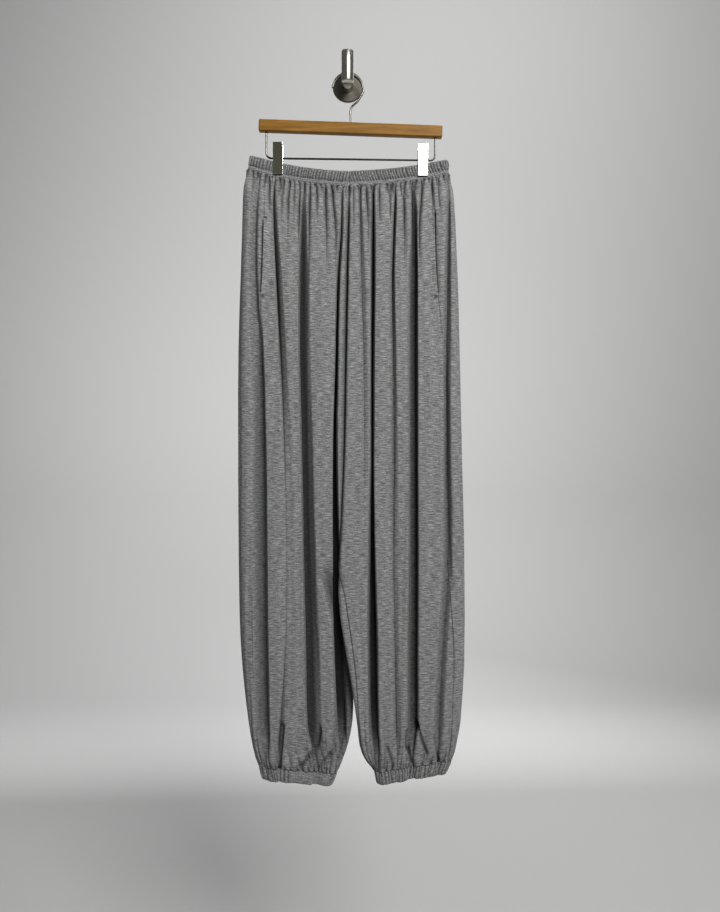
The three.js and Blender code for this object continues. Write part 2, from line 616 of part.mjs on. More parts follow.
// One of a clip's two plates: flat over the band, leaning away from it above.
function clipPlate(half, facing) {
  const x = CLIP_X[half];
  const bottom = WAIST_Z + BAND_HEIGHT + lift(x, WAIST_Z) - CLIP.gripBelow;
  const geometry = new THREE.BoxGeometry(CLIP.width, CLIP.thickness, CLIP.height);
  geometry.translate(0, (facing * CLIP.thickness) / 2, CLIP.height / 2);
  geometry.rotateX(-facing * CLIP.lean);
  geometry.translate(x, MID_Y + facing * CLIP.seat, bottom);
  return outward(geometry);
}

function clipSpring(half) {
  const profile = [
    new THREE.Vector2(SPRING.inner, -SPRING.length / 2),
    new THREE.Vector2(SPRING.outer, -SPRING.length / 2),
    new THREE.Vector2(SPRING.outer, SPRING.length / 2),
    new THREE.Vector2(SPRING.inner, SPRING.length / 2),
    new THREE.Vector2(SPRING.inner, -SPRING.length / 2),
  ];
  const geometry = new THREE.LatheGeometry(profile, 20);
  geometry.rotateZ(Math.PI / 2);
  geometry.translate(CLIP_X[half], MID_Y, railZ(CLIP_X[half]));
  return outward(geometry);
}

function turned(profile, segments) {
  return outward(new THREE.LatheGeometry(profile.map(([r, h]) => new THREE.Vector2(r, h)), segments));
}

function wallPlate() {
  const { radius, thickness, edge } = PLATE;
  const profile = [[0, 0], [radius, 0], [radius, thickness - edge], [radius - edge, thickness], [0, thickness]];
  return turned(profile, 40).rotateX(Math.PI);
}

function hookNeck() {
  const start = PLATE.thickness + SEAM_GAP;
  const profile = [[0, start], [NECK.radius, start], [NECK.radius, -NECK.end], [0, -NECK.end]];
  return turned(profile, 28).rotateX(Math.PI);
}

function hookUpright() {
  const { radius, bottom, top, edge } = UPRIGHT;
  const profile = [
    [0, bottom], [radius - edge, bottom], [radius, bottom + edge],
    [radius, top - edge], [radius - edge, top], [0, top],
  ];
  return turned(profile, 28).rotateX(Math.PI / 2).translate(0, UPRIGHT.y, 0);
}

const MATERIALS = {
  jersey: { color: 0x77797d, roughness: 0.95, metalness: 0 },
  elastic: { color: 0x6f7175, roughness: 0.95, metalness: 0 },
  steel: { color: 0xb9b4ab, roughness: 0.3, metalness: 1 },
  chrome: { color: 0xd5d5d5, roughness: 0.12, metalness: 1 },
  oak: { color: 0xb07a45, roughness: 0.5, metalness: 0 },
};

const pants = new THREE.Group();

function add(name, geometry, material) {
  const mesh = new THREE.Mesh(geometry, new THREE.MeshStandardMaterial(MATERIALS[material]));
  mesh.name = name;
  pants.add(mesh);
}

add('wall_plate', wallPlate(), 'steel');
add('hook_neck', hookNeck(), 'steel');
add('hook_upright', hookUpright(), 'steel');
add('hanger_hook', hangerHook(), 'chrome');
add('hanger_bar', hangerBar(), 'oak');
add('hanger_rail', hangerRail(), 'chrome');
add('waistband', waistband(), 'elastic');
for (const half of ['left', 'right']) {
  add(`clip_${half}_front`, clipPlate(half, -1), 'chrome');
  add(`clip_${half}_back`, clipPlate(half, 1), 'chrome');
  add(`clip_${half}_spring`, clipSpring(half), 'chrome');
  add(`front_${half}`, panel(half, 'front'), 'jersey');
  add(`back_${half}`, panel(half, 'back'), 'jersey');
  add(`pocket_${half}_edge`, pocketEdge(half), 'jersey');
  add(`cuff_${half}`, cuff(half), 'elastic');
}

export default pants;
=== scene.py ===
"""Harem pants of grey heather jersey, clipped to a wooden trouser hanger on a round wall hook.

Shapes are worked out in millimetres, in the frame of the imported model: +Z up, the wall at y = 0,
the origin at the centre of the wall plate's back face. Left and right are as seen from the front.
"""
import math

import bmesh
import bpy
import numpy as np
from mathutils import Matrix, Vector


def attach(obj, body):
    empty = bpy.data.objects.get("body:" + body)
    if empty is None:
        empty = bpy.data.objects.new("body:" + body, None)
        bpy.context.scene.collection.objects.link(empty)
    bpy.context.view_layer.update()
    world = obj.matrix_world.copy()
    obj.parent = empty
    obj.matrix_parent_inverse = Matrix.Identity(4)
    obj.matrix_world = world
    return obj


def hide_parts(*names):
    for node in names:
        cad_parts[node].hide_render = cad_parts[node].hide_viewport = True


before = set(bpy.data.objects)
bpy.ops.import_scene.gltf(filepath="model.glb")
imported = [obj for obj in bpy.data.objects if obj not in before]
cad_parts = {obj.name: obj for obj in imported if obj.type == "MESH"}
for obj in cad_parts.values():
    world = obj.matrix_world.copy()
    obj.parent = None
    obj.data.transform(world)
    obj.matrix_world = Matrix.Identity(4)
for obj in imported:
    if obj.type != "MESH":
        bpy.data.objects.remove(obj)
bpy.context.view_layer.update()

MM = 0.001

# Cloth and the planes in which it hangs.
CLOTH = 1.0
MID_Y = -24
FRONT_DEPTH = 20
BACK_DEPTH = 14
CUFF_FRONT_DEPTH = 12.5
CUFF_BACK_DEPTH = 11.5
SIDE_ROUND = 15
WAIST_SIDE_ROUND = 7
CUFF_SIDE_ROUND = 12
INNER_ROUND = {"left": 8, "right": 5}
COLUMNS = {"front": 38, "back": 46}
COLUMN_STEPS = {"front": 8, "back": 5}

# Heights.
WAIST_Z = -173.4
BAND_TOP_Z = -150
WAIST_RISE = {"left": 30, "right": 21}
WAIST_CURVE = 1.55
WAIST_HALF_WIDTH = 165
SAG_END_Z = -455
BAND_HEIGHT = 24
CROTCH_Z = -777
CUFF_Z = -1116
CUFF_HEIGHT = 21
CUFF_END_Z = CUFF_Z - CUFF_HEIGHT
CUFF_TAPER = 70
TILT_START_Z = -1000

# The flattened waist: open in the middle, pinched in the clips.
WAIST_OPEN = 8.5
WAIST_PINCHED = 2.2
WAIST_END = {"bulge": 1.6, "length": 50}
PINCH_END_Z = -222
CLIP_X = {"left": -113, "right": 122}
SIGN = {"left": -1, "right": 1}

OUTLINE_Z = [
    BAND_TOP_Z, WAIST_Z, -205, -327, -455, -600, CROTCH_Z, -921, -1040, -1090, CUFF_Z, CUFF_END_Z,
]
OUTLINE = {
    "left": {
        "side": [158, 162.5, 169.5, 174, 176.8, 176.8, 176, 172.5, 161, 151, 142.5, 138],
        "seam": [131, 131, 133, 136.6, 145.4, 150.2, 153.4, 152.6, 147, 143, 137, 132],
    },
    "right": {
        "side": [161, 164.5, 172, 179.4, 183, 186, 189, 189, 182, 174, 167.5, 160],
        "seam": [136, 136.4, 138, 142, 154.6, 157, 160.5, 170.3, 167, 165, 160, 153],
    },
}

# The centre seam from the waist to the crotch: height, x, depth y of the front and of the back.
CENTRE = [
    (BAND_TOP_Z, 2.3, -32, -16),
    (WAIST_Z, 2.3, -31.5, -16),
    (-205, 1.6, -31, -13),
    (-250, 0.6, -30, -11.5),
    (-327, -0.9, -25, -11),
    (-455, -3.3, -23, -11),
    (-600, -5.7, -23, -11),
    (-700, -9.5, -24, -12.5),
    (-745, -12, -27, -18),
    (CROTCH_Z, -13.7, -25, -25),
]

# The legs' inner edges: height, place, depth y, recess that makes room for the other leg, and
# how far round the front the inseam lies.
INNER = {
    "left": [
        (CROTCH_Z, 13.85, -25, 0, 0),
        (-800, 13.9, -20, 8, 0),
        (-830, 6, -15, 20, 0),
        (-880, -6, -15, 21, 0),
        (-960, -8.5, -15, 21, 0),
        (-1040, -6.5, -17, 13, 0),
        (-1085, 5, -21, 4, 0),
        (CUFF_Z, 18.5, -24, 0, 0),
        (CUFF_END_Z, 25.5, -24, 0, 0),
    ],
    "right": [
        (CROTCH_Z, -13.55, -25, 0, 0),
        (-800, -13.4, -31, 9, 0),
        (-830, -14, -36, 17, 8),
        (-880, -10, -36, 18, 12),
        (-960, 3, -36, 18, 9.5),
        (-1040, 16.5, -33, 9, 2),
        (-1085, 25, -29, 3, 1.5),
        (CUFF_Z, 44, -24, 0, 1.5),
        (CUFF_END_Z, 48.6, -24, 0, 1.5),
    ],
}
RECESS_FULL = 21
RECESS_END = {"left": 33, "right": 60}

# Folds. place and depth: its middle and how far it lies back, at each of FOLD_Z. inward, outward
# and floor: the width of its side toward the middle of the garment, of its side toward the seam
# and half that of its flat bottom, at each of WIDTH_Z. sharp: 0 is a soft side, 1 a rolled edge,
# inward and outward. lean: how far its bottom reaches under the edge toward the seam. dark: how
# much shade is painted into the colour of its floor; under that edge the painted shade is always
# full. column: the grid column that follows the fold, where one does.
FOLD_Z = [WAIST_Z, -250, -327, -455, -600, CROTCH_Z, -921, -1040, -1090]
WIDTH_Z = [-215, -310, -620, -900]
FOLD_START = 12
LEAN_DEPTH = 20
# Painted shade: the depth of a fold, in mm, at which the shade painted into the cloth's colour is full.
FULL_SHADE_DEPTH = 15
# The width of the band under a rolled edge where the painted shade is full.
EDGE_WIDTH = 2


class Fold:
    def __init__(self, place, depth, inward, outward, sharp,
                 floor=(0,), lean=0, dark=0.9, column=None):
        self.place = place
        self.depth = depth
        self.inward = inward
        self.outward = outward
        self.sharp = sharp
        self.floor = floor
        self.lean = lean
        self.dark = dark
        self.column = column


def short_fold(place, depth, end_z, width=5.5, sharp=0.8):
    """A fold that starts at the waistband and has faded at end_z; place: there and at -300."""
    places = [place[0]] + [place[1]] * 8
    depths = [depth * max(0, 1 - (WAIST_Z - z) / (WAIST_Z - end_z)) ** 0.8 for z in FOLD_Z]
    return Fold(places, depths, (width, width * 1.4), (width, width * 1.4), (sharp, sharp))


FOLDS = {
    ("left", "front"): [
        Fold([8.9, 10.5, 15.3, 17.7, 20.5, 18, 14, 10, 8], [9, 16, 21, 24, 25, 25, 22, 12, 5],
             (3.5, 3, 3, 4), (3.5, 3, 3, 3.5), (1, 1), floor=(0.5, 0.8, 2.5, 7), lean=1.5, dark=1, column=6),
        Fold([71, 73, 74.8, 74.8, 71.5, 68, 64.5, 62, 55], [7, 15, 21, 22, 22, 22, 22, 20, 14],
             (6, 14, 16, 20), (3, 3, 3, 3.5), (0.1, 1), floor=(1, 1.6, 1.6, 2), lean=2, dark=0.8,
             column=19),
        Fold([118, 116.5, 112.5, 106.5, 101, 98, 100, 107.5, 110], [12, 19, 22, 18, 5, 2, 3, 11, 14],
             (4, 7, 12, 9), (3, 3, 5, 5), (0.8, 1), floor=(0.5, 1, 0.5, 0.5), lean=3, column=30),
        Fold([143.6, 147, 148, 140.5, 137, 135.6, 134, 131.5, 130.5], [6, 9, 10, 15, 19, 20, 20, 18, 15],
             (5, 6, 6, 6), (8, 14, 17, 16), (0.3, 0.2), floor=(0.5, 1, 2, 2), lean=-0.5, dark=0.4),
        short_fold((25, 19.5), 13, -330, 5),
        short_fold((36.1, 34), 13, -290),
        short_fold((50, 49), 10, -240, 5),
        short_fold((61, 62), 15, -300, 4.5),
        short_fold((77, 78.5), 12, -300, 4.5),
        short_fold((87, 87), 8, -225, 5),
        short_fold((95, 96.5), 11, -262),
        short_fold((105.5, 106), 10, -255, 5),
        short_fold((127, 126), 11, -240, 5),
        short_fold((152, 155), 7, -240, 5),
    ],
    ("right", "front"): [
        Fold([19.5, 20.5, 22.4, 25.6, 26.4, 24.8, 29, 39, 55], [11, 9, 7, 5, 3, 0, 0, 0, 0],
             (4, 7), (4, 8), (0.6, 0.5), dark=0.7),
        Fold([41, 41.3, 41, 40, 39.7, 39.5, 41, 43, 47], [12, 20, 22, 24, 24, 22, 17, 14, 11],
             (4, 4, 3, 3.5), (3.5, 3, 3, 3.5), (0.9, 1), floor=(1, 1.6, 0.9, 6), lean=1, dark=1, column=11),
        Fold([77.5, 74.5, 72, 73, 74, 74, 76, 78.5, 79], [13, 16, 14, 10, 8, 6, 6, 8, 8],
             (4, 7, 10, 10), (3.5, 5, 9, 9), (0.7, 0.6), dark=0.6, column=18),
        Fold([107, 107, 106.5, 106, 106.5, 107, 106.5, 106.5, 103], [5, 14, 21, 22, 22, 23, 23, 21, 13],
             (4, 7, 7, 8), (3.5, 3, 3, 3.5), (0.4, 1), floor=(1.5, 4.6, 4.6, 5.5), lean=1, dark=0.5,
             column=29),
        Fold([162, 162.5, 161, 160, 160.5, 161, 152, 146.5, 146], [6, 10, 12, 14, 14, 11, 10, 11, 10],
             (6, 8, 9, 10), (4, 5, 6, 8), (0.4, 0.4), floor=(0.5, 1, 1, 1), dark=0.5),
        short_fold((9, 9.5), 8, -230, 4),
        short_fold((30, 33), 11, -275),
        short_fold((51, 51), 9, -240, 5),
        short_fold((68, 68), 10, -235, 4.5),
        short_fold((90.5, 90.6), 12, -290),
        short_fold((103.8, 104), 16, -300, 4.5),
        short_fold((121, 115.5), 15, -330, 4.5),
        short_fold((136.5, 137), 12, -262, 4.5),
        short_fold((146, 148), 8, -235, 5),
    ],
    ("left", "back"): [
        Fold([128, 126, 122, 117, 116, 118, 122, 118, 116], [5, 8, 9, 9, 8, 7, 7, 8, 8],
             (6, 10), (6, 16), (0.6, 0.6), column=13),
        Fold([84, 82, 80, 77, 74, 72, 74, 76, 80], [6, 8, 9, 9, 9, 9, 8, 8, 8],
             (6, 14), (4, 6), (0.9, 0.9), column=23),
        Fold([38, 37, 35, 32, 30, 32, 30, 34, 46], [6, 8, 9, 9, 9, 7, 3, 4, 6],
             (4, 6), (6, 15), (0.8, 0.8), column=34),
    ],
    ("right", "back"): [
        Fold([133, 131, 128, 126, 128, 130, 132, 131, 130], [4, 7, 9, 9, 8, 7, 7, 8, 8],
             (6, 15), (5, 7), (0.8, 0.8), column=12),
        Fold([83, 84, 86, 88, 90, 92, 94, 98, 100], [6, 8, 9, 9, 9, 8, 7, 8, 7],
             (4, 8), (6, 15), (0.7, 0.7), column=24),
        Fold([36, 38, 40, 42, 43, 46, 62, 70, 76], [6, 8, 8, 9, 9, 7, 5, 6, 6],
             (6, 14), (4, 6), (0.9, 0.9), column=35),
    ],
}
for half, first in (("left", 12), ("right", 9)):
    for number in range(11):
        place = first + 13.2 * number + 2.6 * math.sin(2.1 * number + first)
        drift = place + 2 * math.sin(1.3 * number)
        end = -262 - 48 * math.sin(1.9 * number + first)
        FOLDS[half, "back"].append(short_fold((place, drift), 7 + 2 * math.sin(1.7 * number), end))
BACK_SIDE_COLUMN = 8

# Slits between the gathers above the cuffs, as columns of each panel.
CUFF_SLITS = {
    ("left", "front"): [0, 2.7, 5.4, 8, 11, 13.6, 16.5, 20, 23, 25.5, 28.6, 31, 34, 36.2, 38],
    ("right", "front"): [0, 2.5, 5, 8.4, 11, 13.5, 15.4, 18, 21, 24, 26.5, 29, 32, 35.3, 38],
    ("left", "back"): [0, 2, 5, 8, 10.7, 13, 16.5, 19.8, 23, 25.6, 28, 31.5, 34, 37, 40.5, 43, 46],
    ("right", "back"): [0, 3, 5.5, 8, 12, 14.4, 17.7, 21, 24, 27.5, 30, 32.4, 35, 38, 41.5, 43.8, 46],
}

# Single creases on the fronts above the cuffs: width, depth and the points (x, z) they run through.
CREASES = [
    (2.4, 6, [(95.2, -1054), (96.5, -1078), (102.5, -1103)]),
    (2.4, 5, [(111.5, -1040), (116, -1056), (121, -1072), (127.1, -1088)]),
    (3.0, 6, [(-105.2, -1045), (-108, -1075), (-110, -1112)]),
    (3.2, 6, [(-46, -1050), (-49.5, -1077), (-62, -1094), (-75.7, -1110)]),
    (2.6, 5, [(-28.2, -1089), (-46.2, -1111)]),
    (2.6, 5, [(-7.3, -1056), (-11, -1080), (-14, -1098)]),
    (2.4, 4, [(-20, -1078), (-30, -1100)]),
    (2.6, 4, [(64, -1080), (70, -1100), (72, -1112)]),
    (2.4, 4, [(140, -1060), (143, -1085), (147, -1100)]),
]

POCKET = {"left": (-246, -359), "right": (-224, -359)}
POCKET_EDGE = 8.5


def clamp(t):
    return np.clip(t, 0.0, 1.0)


def smooth(t):
    return clamp(t) ** 2 * (3 - 2 * clamp(t))


def mix(a, b, t):
    return a + (b - a) * t


def along(heights, values, z):
    """A smooth curve through the values given at falling heights."""
    last = len(heights) - 1
    if z >= heights[0]:
        return values[0]
    if z <= heights[last]:
        return values[last]
    k = 0
    while z < heights[k + 1]:
        k += 1

    def slope(i):
        if i in (0, last):
            return 0
        return (values[i + 1] - values[i - 1]) / (heights[i + 1] - heights[i - 1])

    step = heights[k + 1] - heights[k]
    t = (z - heights[k]) / step
    start = (1 + 2 * t) * (1 - t) ** 2 * values[k] + t * (1 - t) ** 2 * step * slope(k)
    return start + t * t * (3 - 2 * t) * values[k + 1] - t * t * (1 - t) * step * slope(k + 1)


def field(rows, index, z):
    return along([row[0] for row in rows], [row[index] for row in rows], z)


def rounded(distance, length):
    """0 at the edge and 1 from that length on, as a quarter of an ellipse."""
    return np.sqrt(1 - (1 - clamp(distance / length)) ** 2)


def width(values, z):
    return float(np.interp(-z, [-height for height in WIDTH_Z[:len(values)]], values))


def trough(fold, offset, z):
    """1 at the bottom of a fold and 0 from its shoulders on."""
    inside = offset < 0
    reach = np.where(inside, width(fold.inward, z), width(fold.outward, z))
    past = clamp((np.abs(offset) - width(fold.floor, z)) / reach)
    soft = 0.5 + 0.5 * np.cos(np.pi * past)
    return mix(soft, 1 - rounded(past, 1), np.where(inside, *fold.sharp))


def fold_form(folds, out, z):
    """How far the cloth lies back from its ridges, how far that moves it sideways, and how much
    shade is painted into its colour there, from 0 to 1."""
    total, shift, painted_shade = (np.zeros_like(out) for _ in range(3))
    for fold in folds:
        depth = along(FOLD_Z, fold.depth, z)
        if depth > 0.01:
            offset = out - along(FOLD_Z, fold.place, z)
            part = depth * trough(fold, offset, z)
            total += part
            shift += fold.lean * part / LEAN_DEPTH
            # Painted shade: the floor darkens as far as the fold's dark, and fully under a rolled edge.
            edge = np.exp(-((offset - width(fold.floor, z)) / EDGE_WIDTH) ** 2)
            dark = mix(fold.dark, 1, edge * fold.sharp[1] ** 2)
            painted_shade = np.maximum(painted_shade, dark * clamp(part / FULL_SHADE_DEPTH))
    start = smooth((WAIST_Z - z + 3) / FOLD_START)
    return total * start, shift * start, painted_shade * start


def waist_half(out, clip_out):
    """Half the thickness of the waist where the band holds it."""
    past = clamp((out - clip_out) / WAIST_END["length"])
    outside = WAIST_PINCHED + WAIST_END["bulge"] * np.sin(np.pi * past)
    inside = mix(WAIST_PINCHED, WAIST_OPEN, np.cos(np.pi / 2 * clamp(out / clip_out)) ** 2)
    return np.where(out > clip_out, outside, inside)


class Section:
    """One half of the garment at a height: from its inner edge along the front to the side, and
    back along the back. Places are distances from x = 0 toward that half's side."""

    def __init__(self, half, z):
        self.half = half
        self.z = z
        self.above = z > CROTCH_Z
        self.side = along(OUTLINE_Z, OUTLINE[half]["side"], z)
        self.seam = along(OUTLINE_Z, OUTLINE[half]["seam"], z)
        if self.above:
            self.inner = SIGN[half] * field(CENTRE, 1, z)
            self.edge_y = {"front": field(CENTRE, 2, z), "back": field(CENTRE, 3, z)}
            self.recess = self.inseam = 0
        else:
            self.inner = field(INNER[half], 1, z)
            self.edge_y = dict.fromkeys(("front", "back"), field(INNER[half], 2, z))
            self.recess = field(INNER[half], 3, z)
            self.inseam = field(INNER[half], 4, z)
        self.pinch = float(smooth((z - PINCH_END_Z) / (WAIST_Z - PINCH_END_Z)))
        self.cuff = float(smooth((CUFF_Z + CUFF_TAPER - z) / CUFF_TAPER))
        self.side_round = mix(mix(SIDE_ROUND, WAIST_SIDE_ROUND, self.pinch), CUFF_SIDE_ROUND, self.cuff)
        front = self.places("front")
        back = self.places("back")[::-1]
        self.place = np.concatenate([front, back[1:]])
        ahead, behind = self.face_form("front", front), self.face_form("back", back)
        self.out, self.y, self.painted_shade = (np.concatenate([a, b[1:]]) for a, b in zip(ahead, behind))
        steps = np.hypot(np.diff(self.out), np.diff(self.y))
        self.length = np.concatenate([[0], np.cumsum(steps)])
        self.turn = len(front) - 1
        self.total = self.length[-1]

    def places(self, face):
        bend = 1 - np.cos(np.linspace(0, np.pi / 2, 25))
        inner_round = INNER_ROUND[self.half]
        middle = np.linspace(self.inner + inner_round, self.side - self.side_round, 420)
        folds = [along(FOLD_Z, fold.place, self.z) for fold in FOLDS[self.half, face]]
        ends = [self.inner + inner_round * bend, self.side - self.side_round * bend]
        every = np.unique(np.concatenate([middle, folds, *ends]))
        return every[(every >= self.inner) & (every <= self.side)]

    def face_form(self, face, out):
        """The places, the depths and how much shade is painted into the colour there, from 0 to 1."""
        front = face == "front"
        folds, shift, painted_shade = fold_form(FOLDS[self.half, face], out, self.z)
        folds, painted_shade = folds * (1 - 0.6 * self.cuff), painted_shade * (1 - 0.5 * self.cuff)
        full = FRONT_DEPTH if front else BACK_DEPTH
        at_cuff = CUFF_FRONT_DEPTH if front else CUFF_BACK_DEPTH
        waist = waist_half(out, abs(CLIP_X[self.half]))
        ridge = mix(mix(full, waist, self.pinch), at_cuff, self.cuff)
        recess = 0
        if front == (self.half == "left"):
            past = (out - self.inner - RECESS_FULL) / (RECESS_END[self.half] - RECESS_FULL)
            recess = self.recess * (1 - smooth(past))
            # Painted shade on the part of the leg that lies back behind the other leg.
            painted_shade = np.maximum(painted_shade, 0.5 * recess / FULL_SHADE_DEPTH)
        least = -0.3 * ridge if front else 0.3 * ridge
        away = -1 if front else 1
        depth = np.maximum(ridge - folds, np.minimum(least + recess, ridge))
        y = MID_Y + away * (depth * rounded(self.side - out, self.side_round) - recess)
        inner = rounded(out - self.inner, INNER_ROUND[self.half])
        # Painted shade along the centre seam, fading out toward the waistband.
        if self.above:
            seam_shade = clamp(np.abs(self.edge_y[face] - MID_Y - away * full) / FULL_SHADE_DEPTH)
            painted_shade = np.maximum(painted_shade, (1 - inner) * seam_shade * (1 - self.pinch))
        shift = shift * smooth((out - self.inner) / 5) * smooth((self.side - out) / 5)
        return out + shift, mix(self.edge_y[face], y, inner), painted_shade

    def length_at(self, out, face):
        if face == "front":
            return np.interp(out, self.place[:self.turn + 1], self.length[:self.turn + 1])
        return np.interp(out, self.place[self.turn:][::-1], self.length[self.turn:][::-1])

    # The painted shade at distances along the section.
    def painted_shade_at(self, distance):
        return np.interp(np.mod(distance, self.total + 1e-9), self.length, self.painted_shade)

    def at(self, distance):
        """Points at distances along the section."""
        if self.above:
            d = np.clip(distance, 0, self.total)
        else:
            d = np.mod(distance, self.total)
        return np.stack([np.interp(d, self.length, self.out), np.interp(d, self.length, self.y)], -1)

    def normals(self, distance, reach=0.5):
        """Outward normals at distances along the section."""
        a, b = self.at(distance - reach), self.at(distance + reach)
        step = b - a
        size = np.maximum(np.hypot(step[:, 0], step[:, 1]), 1e-6)
        return np.stack([step[:, 1] / size, -step[:, 0] / size], -1)

    def stops(self, face):
        """Columns of a panel and the distances along the section that they follow."""
        inseam = 0 if self.above else float(self.length_at(self.inner + self.inseam, "front"))
        seam = float(self.length_at(self.seam, "front"))
        pairs = []
        for fold in FOLDS[self.half, face]:
            if fold.column is not None:
                place = along(FOLD_Z, fold.place, self.z)
                pairs.append((fold.column, float(self.length_at(place, face))))
        if face == "front":
            return [(0, inseam), *pairs, (COLUMNS["front"], seam)]
        end = self.total if self.above else self.total + inseam
        return [(0, seam), (BACK_SIDE_COLUMN, self.length[self.turn]), *pairs, (COLUMNS["back"], end)]


def lift(x, z):
    """The waist rises toward the sides and the cuffs tilt, less and less toward the middle."""
    rise = np.where(x < -2, WAIST_RISE["left"], WAIST_RISE["right"])
    sag = rise * np.abs((x + 2) / WAIST_HALF_WIDTH) ** WAIST_CURVE
    top = smooth((z - SAG_END_Z) / (WAIST_Z - SAG_END_Z))
    bottom = smooth((TILT_START_Z - z) / (TILT_START_Z - CUFF_Z))
    tilt = np.where(x < 20, mix(-7, 4.5, clamp(-x / 140)), mix(-4, 15, clamp((x - 45) / 115)))
    return sag * top + tilt * bottom


# Relief of the cloth on top of its sections.

def wander(place, seed):
    """A slow uneven wave between -1 and 1."""
    a = np.sin(place * 1.0 + seed * 1.7) + 0.6 * np.sin(place * 2.3 + seed * 3.1)
    return (a + 0.4 * np.sin(place * 4.1 + seed * 0.9)) / 2.0


def varied(index, seed):
    """A steady but uneven value between 0 and 1 for each whole number."""
    return 0.5 + 0.5 * np.sin(index * 12.9898 + seed * 78.233)


def ridges(place, edges, power):
    """0 at each edge and 1 midway between two edges, with the number of the ridge."""
    t = np.interp(place, edges, np.arange(len(edges)))
    return np.abs(np.sin(np.pi * t)) ** power, np.floor(t)


def gathers(column, power=0.7):
    """The fine gathers that the elastic draws up, in columns."""
    t = column / 1.9 + 0.28 * wander(column * 0.55, 3)
    return np.abs(np.sin(np.pi * t)) ** power, np.floor(t)


FINE_HEIGHT = 2.8
# How strongly shade is painted between the fine gathers.
GATHER_SHADE = 1.15
CUFF_SLIT_HEIGHT = 5.5
SEAM_GROOVE = 0.45
INSEAM_RIDGE = 0.8


def waist_relief(column, z):
    below = WAIST_Z - z
    fine, number = gathers(column)
    reach = 14 + 30 * varied(number, 1)
    fade = clamp(1 - below / reach) ** 1.2
    # Returns the height of the gathers and the shade painted into the colour between them.
    return FINE_HEIGHT * fine * fade, GATHER_SHADE * (1 - fine ** 1.4) ** 1.6 * fade ** 0.8


def cuff_relief(half, face, column, z):
    above = z - CUFF_Z
    lean = 2.2 * np.sin(np.pi * clamp(column / COLUMNS[face])) * (1 if half == "left" else 0.5)
    shifted = column - lean * clamp(above / 40)
    fine, number = gathers(shifted + 0.6)
    fade = clamp(1 - above / (10 + 20 * varied(number, 4))) ** 1.3
    total = 1.9 * fine * fade
    # Painted shade between the gathers and in the slits above the cuff.
    painted_shade = GATHER_SHADE * (1 - fine ** 1.4) ** 1.4 * fade ** 0.7
    wide, number = ridges(shifted, CUFF_SLITS[half, face], 0.6)
    reach = 40 + 75 * varied(number, 7)
    height = CUFF_SLIT_HEIGHT * (0.6 + 0.6 * varied(number, 8))
    fade = smooth((above + 6) / 22) * clamp(1 - above / reach) ** 1.4
    return total + height * wide * fade, np.maximum(painted_shade, 0.9 * (1 - wide) ** 2 * fade)


def soft_relief(half, face, column, z):
    """Slight unevenness of the hanging cloth."""
    seed = 1.3 * (half == "left") + 2.9 * (face == "back")
    drift = z / 260
    wave = wander(column * 0.62 + 1.3 * np.sin(drift + seed), seed)
    small = wander(column * 1.7 + 2.1 * np.sin(z / 90 + seed), seed + 4) * wander(z / 34, seed)
    return 1.5 * wave + 0.5 * small


def crease_relief(x, z):
    total = np.zeros_like(x)
    for width, depth, points in CREASES:
        best = np.zeros_like(x)
        for (xa, za), (xb, zb) in zip(points, points[1:]):
            run = (xb - xa) ** 2 + (zb - za) ** 2
            t = clamp(((x - xa) * (xb - xa) + (z - za) * (zb - za)) / run)
            far = np.hypot(x - mix(xa, xb, t), (z - mix(za, zb, t)) * 0.55)
            best = np.maximum(best, np.exp(-(far / width) ** 2))
        total += depth * best
    return total


def row_heights():
    """Heights of a panel's rows, closer together at the waist and above the cuffs."""
    top = WAIST_Z - 0.2 - 84 * np.linspace(0, 1, 34) ** 1.25
    bottom = CUFF_Z + 0.2 + 84 * np.linspace(1, 0, 34) ** 1.25
    middle = np.linspace(top[-1], bottom[0], 86)[1:-1]
    return np.concatenate([top, middle, bottom])


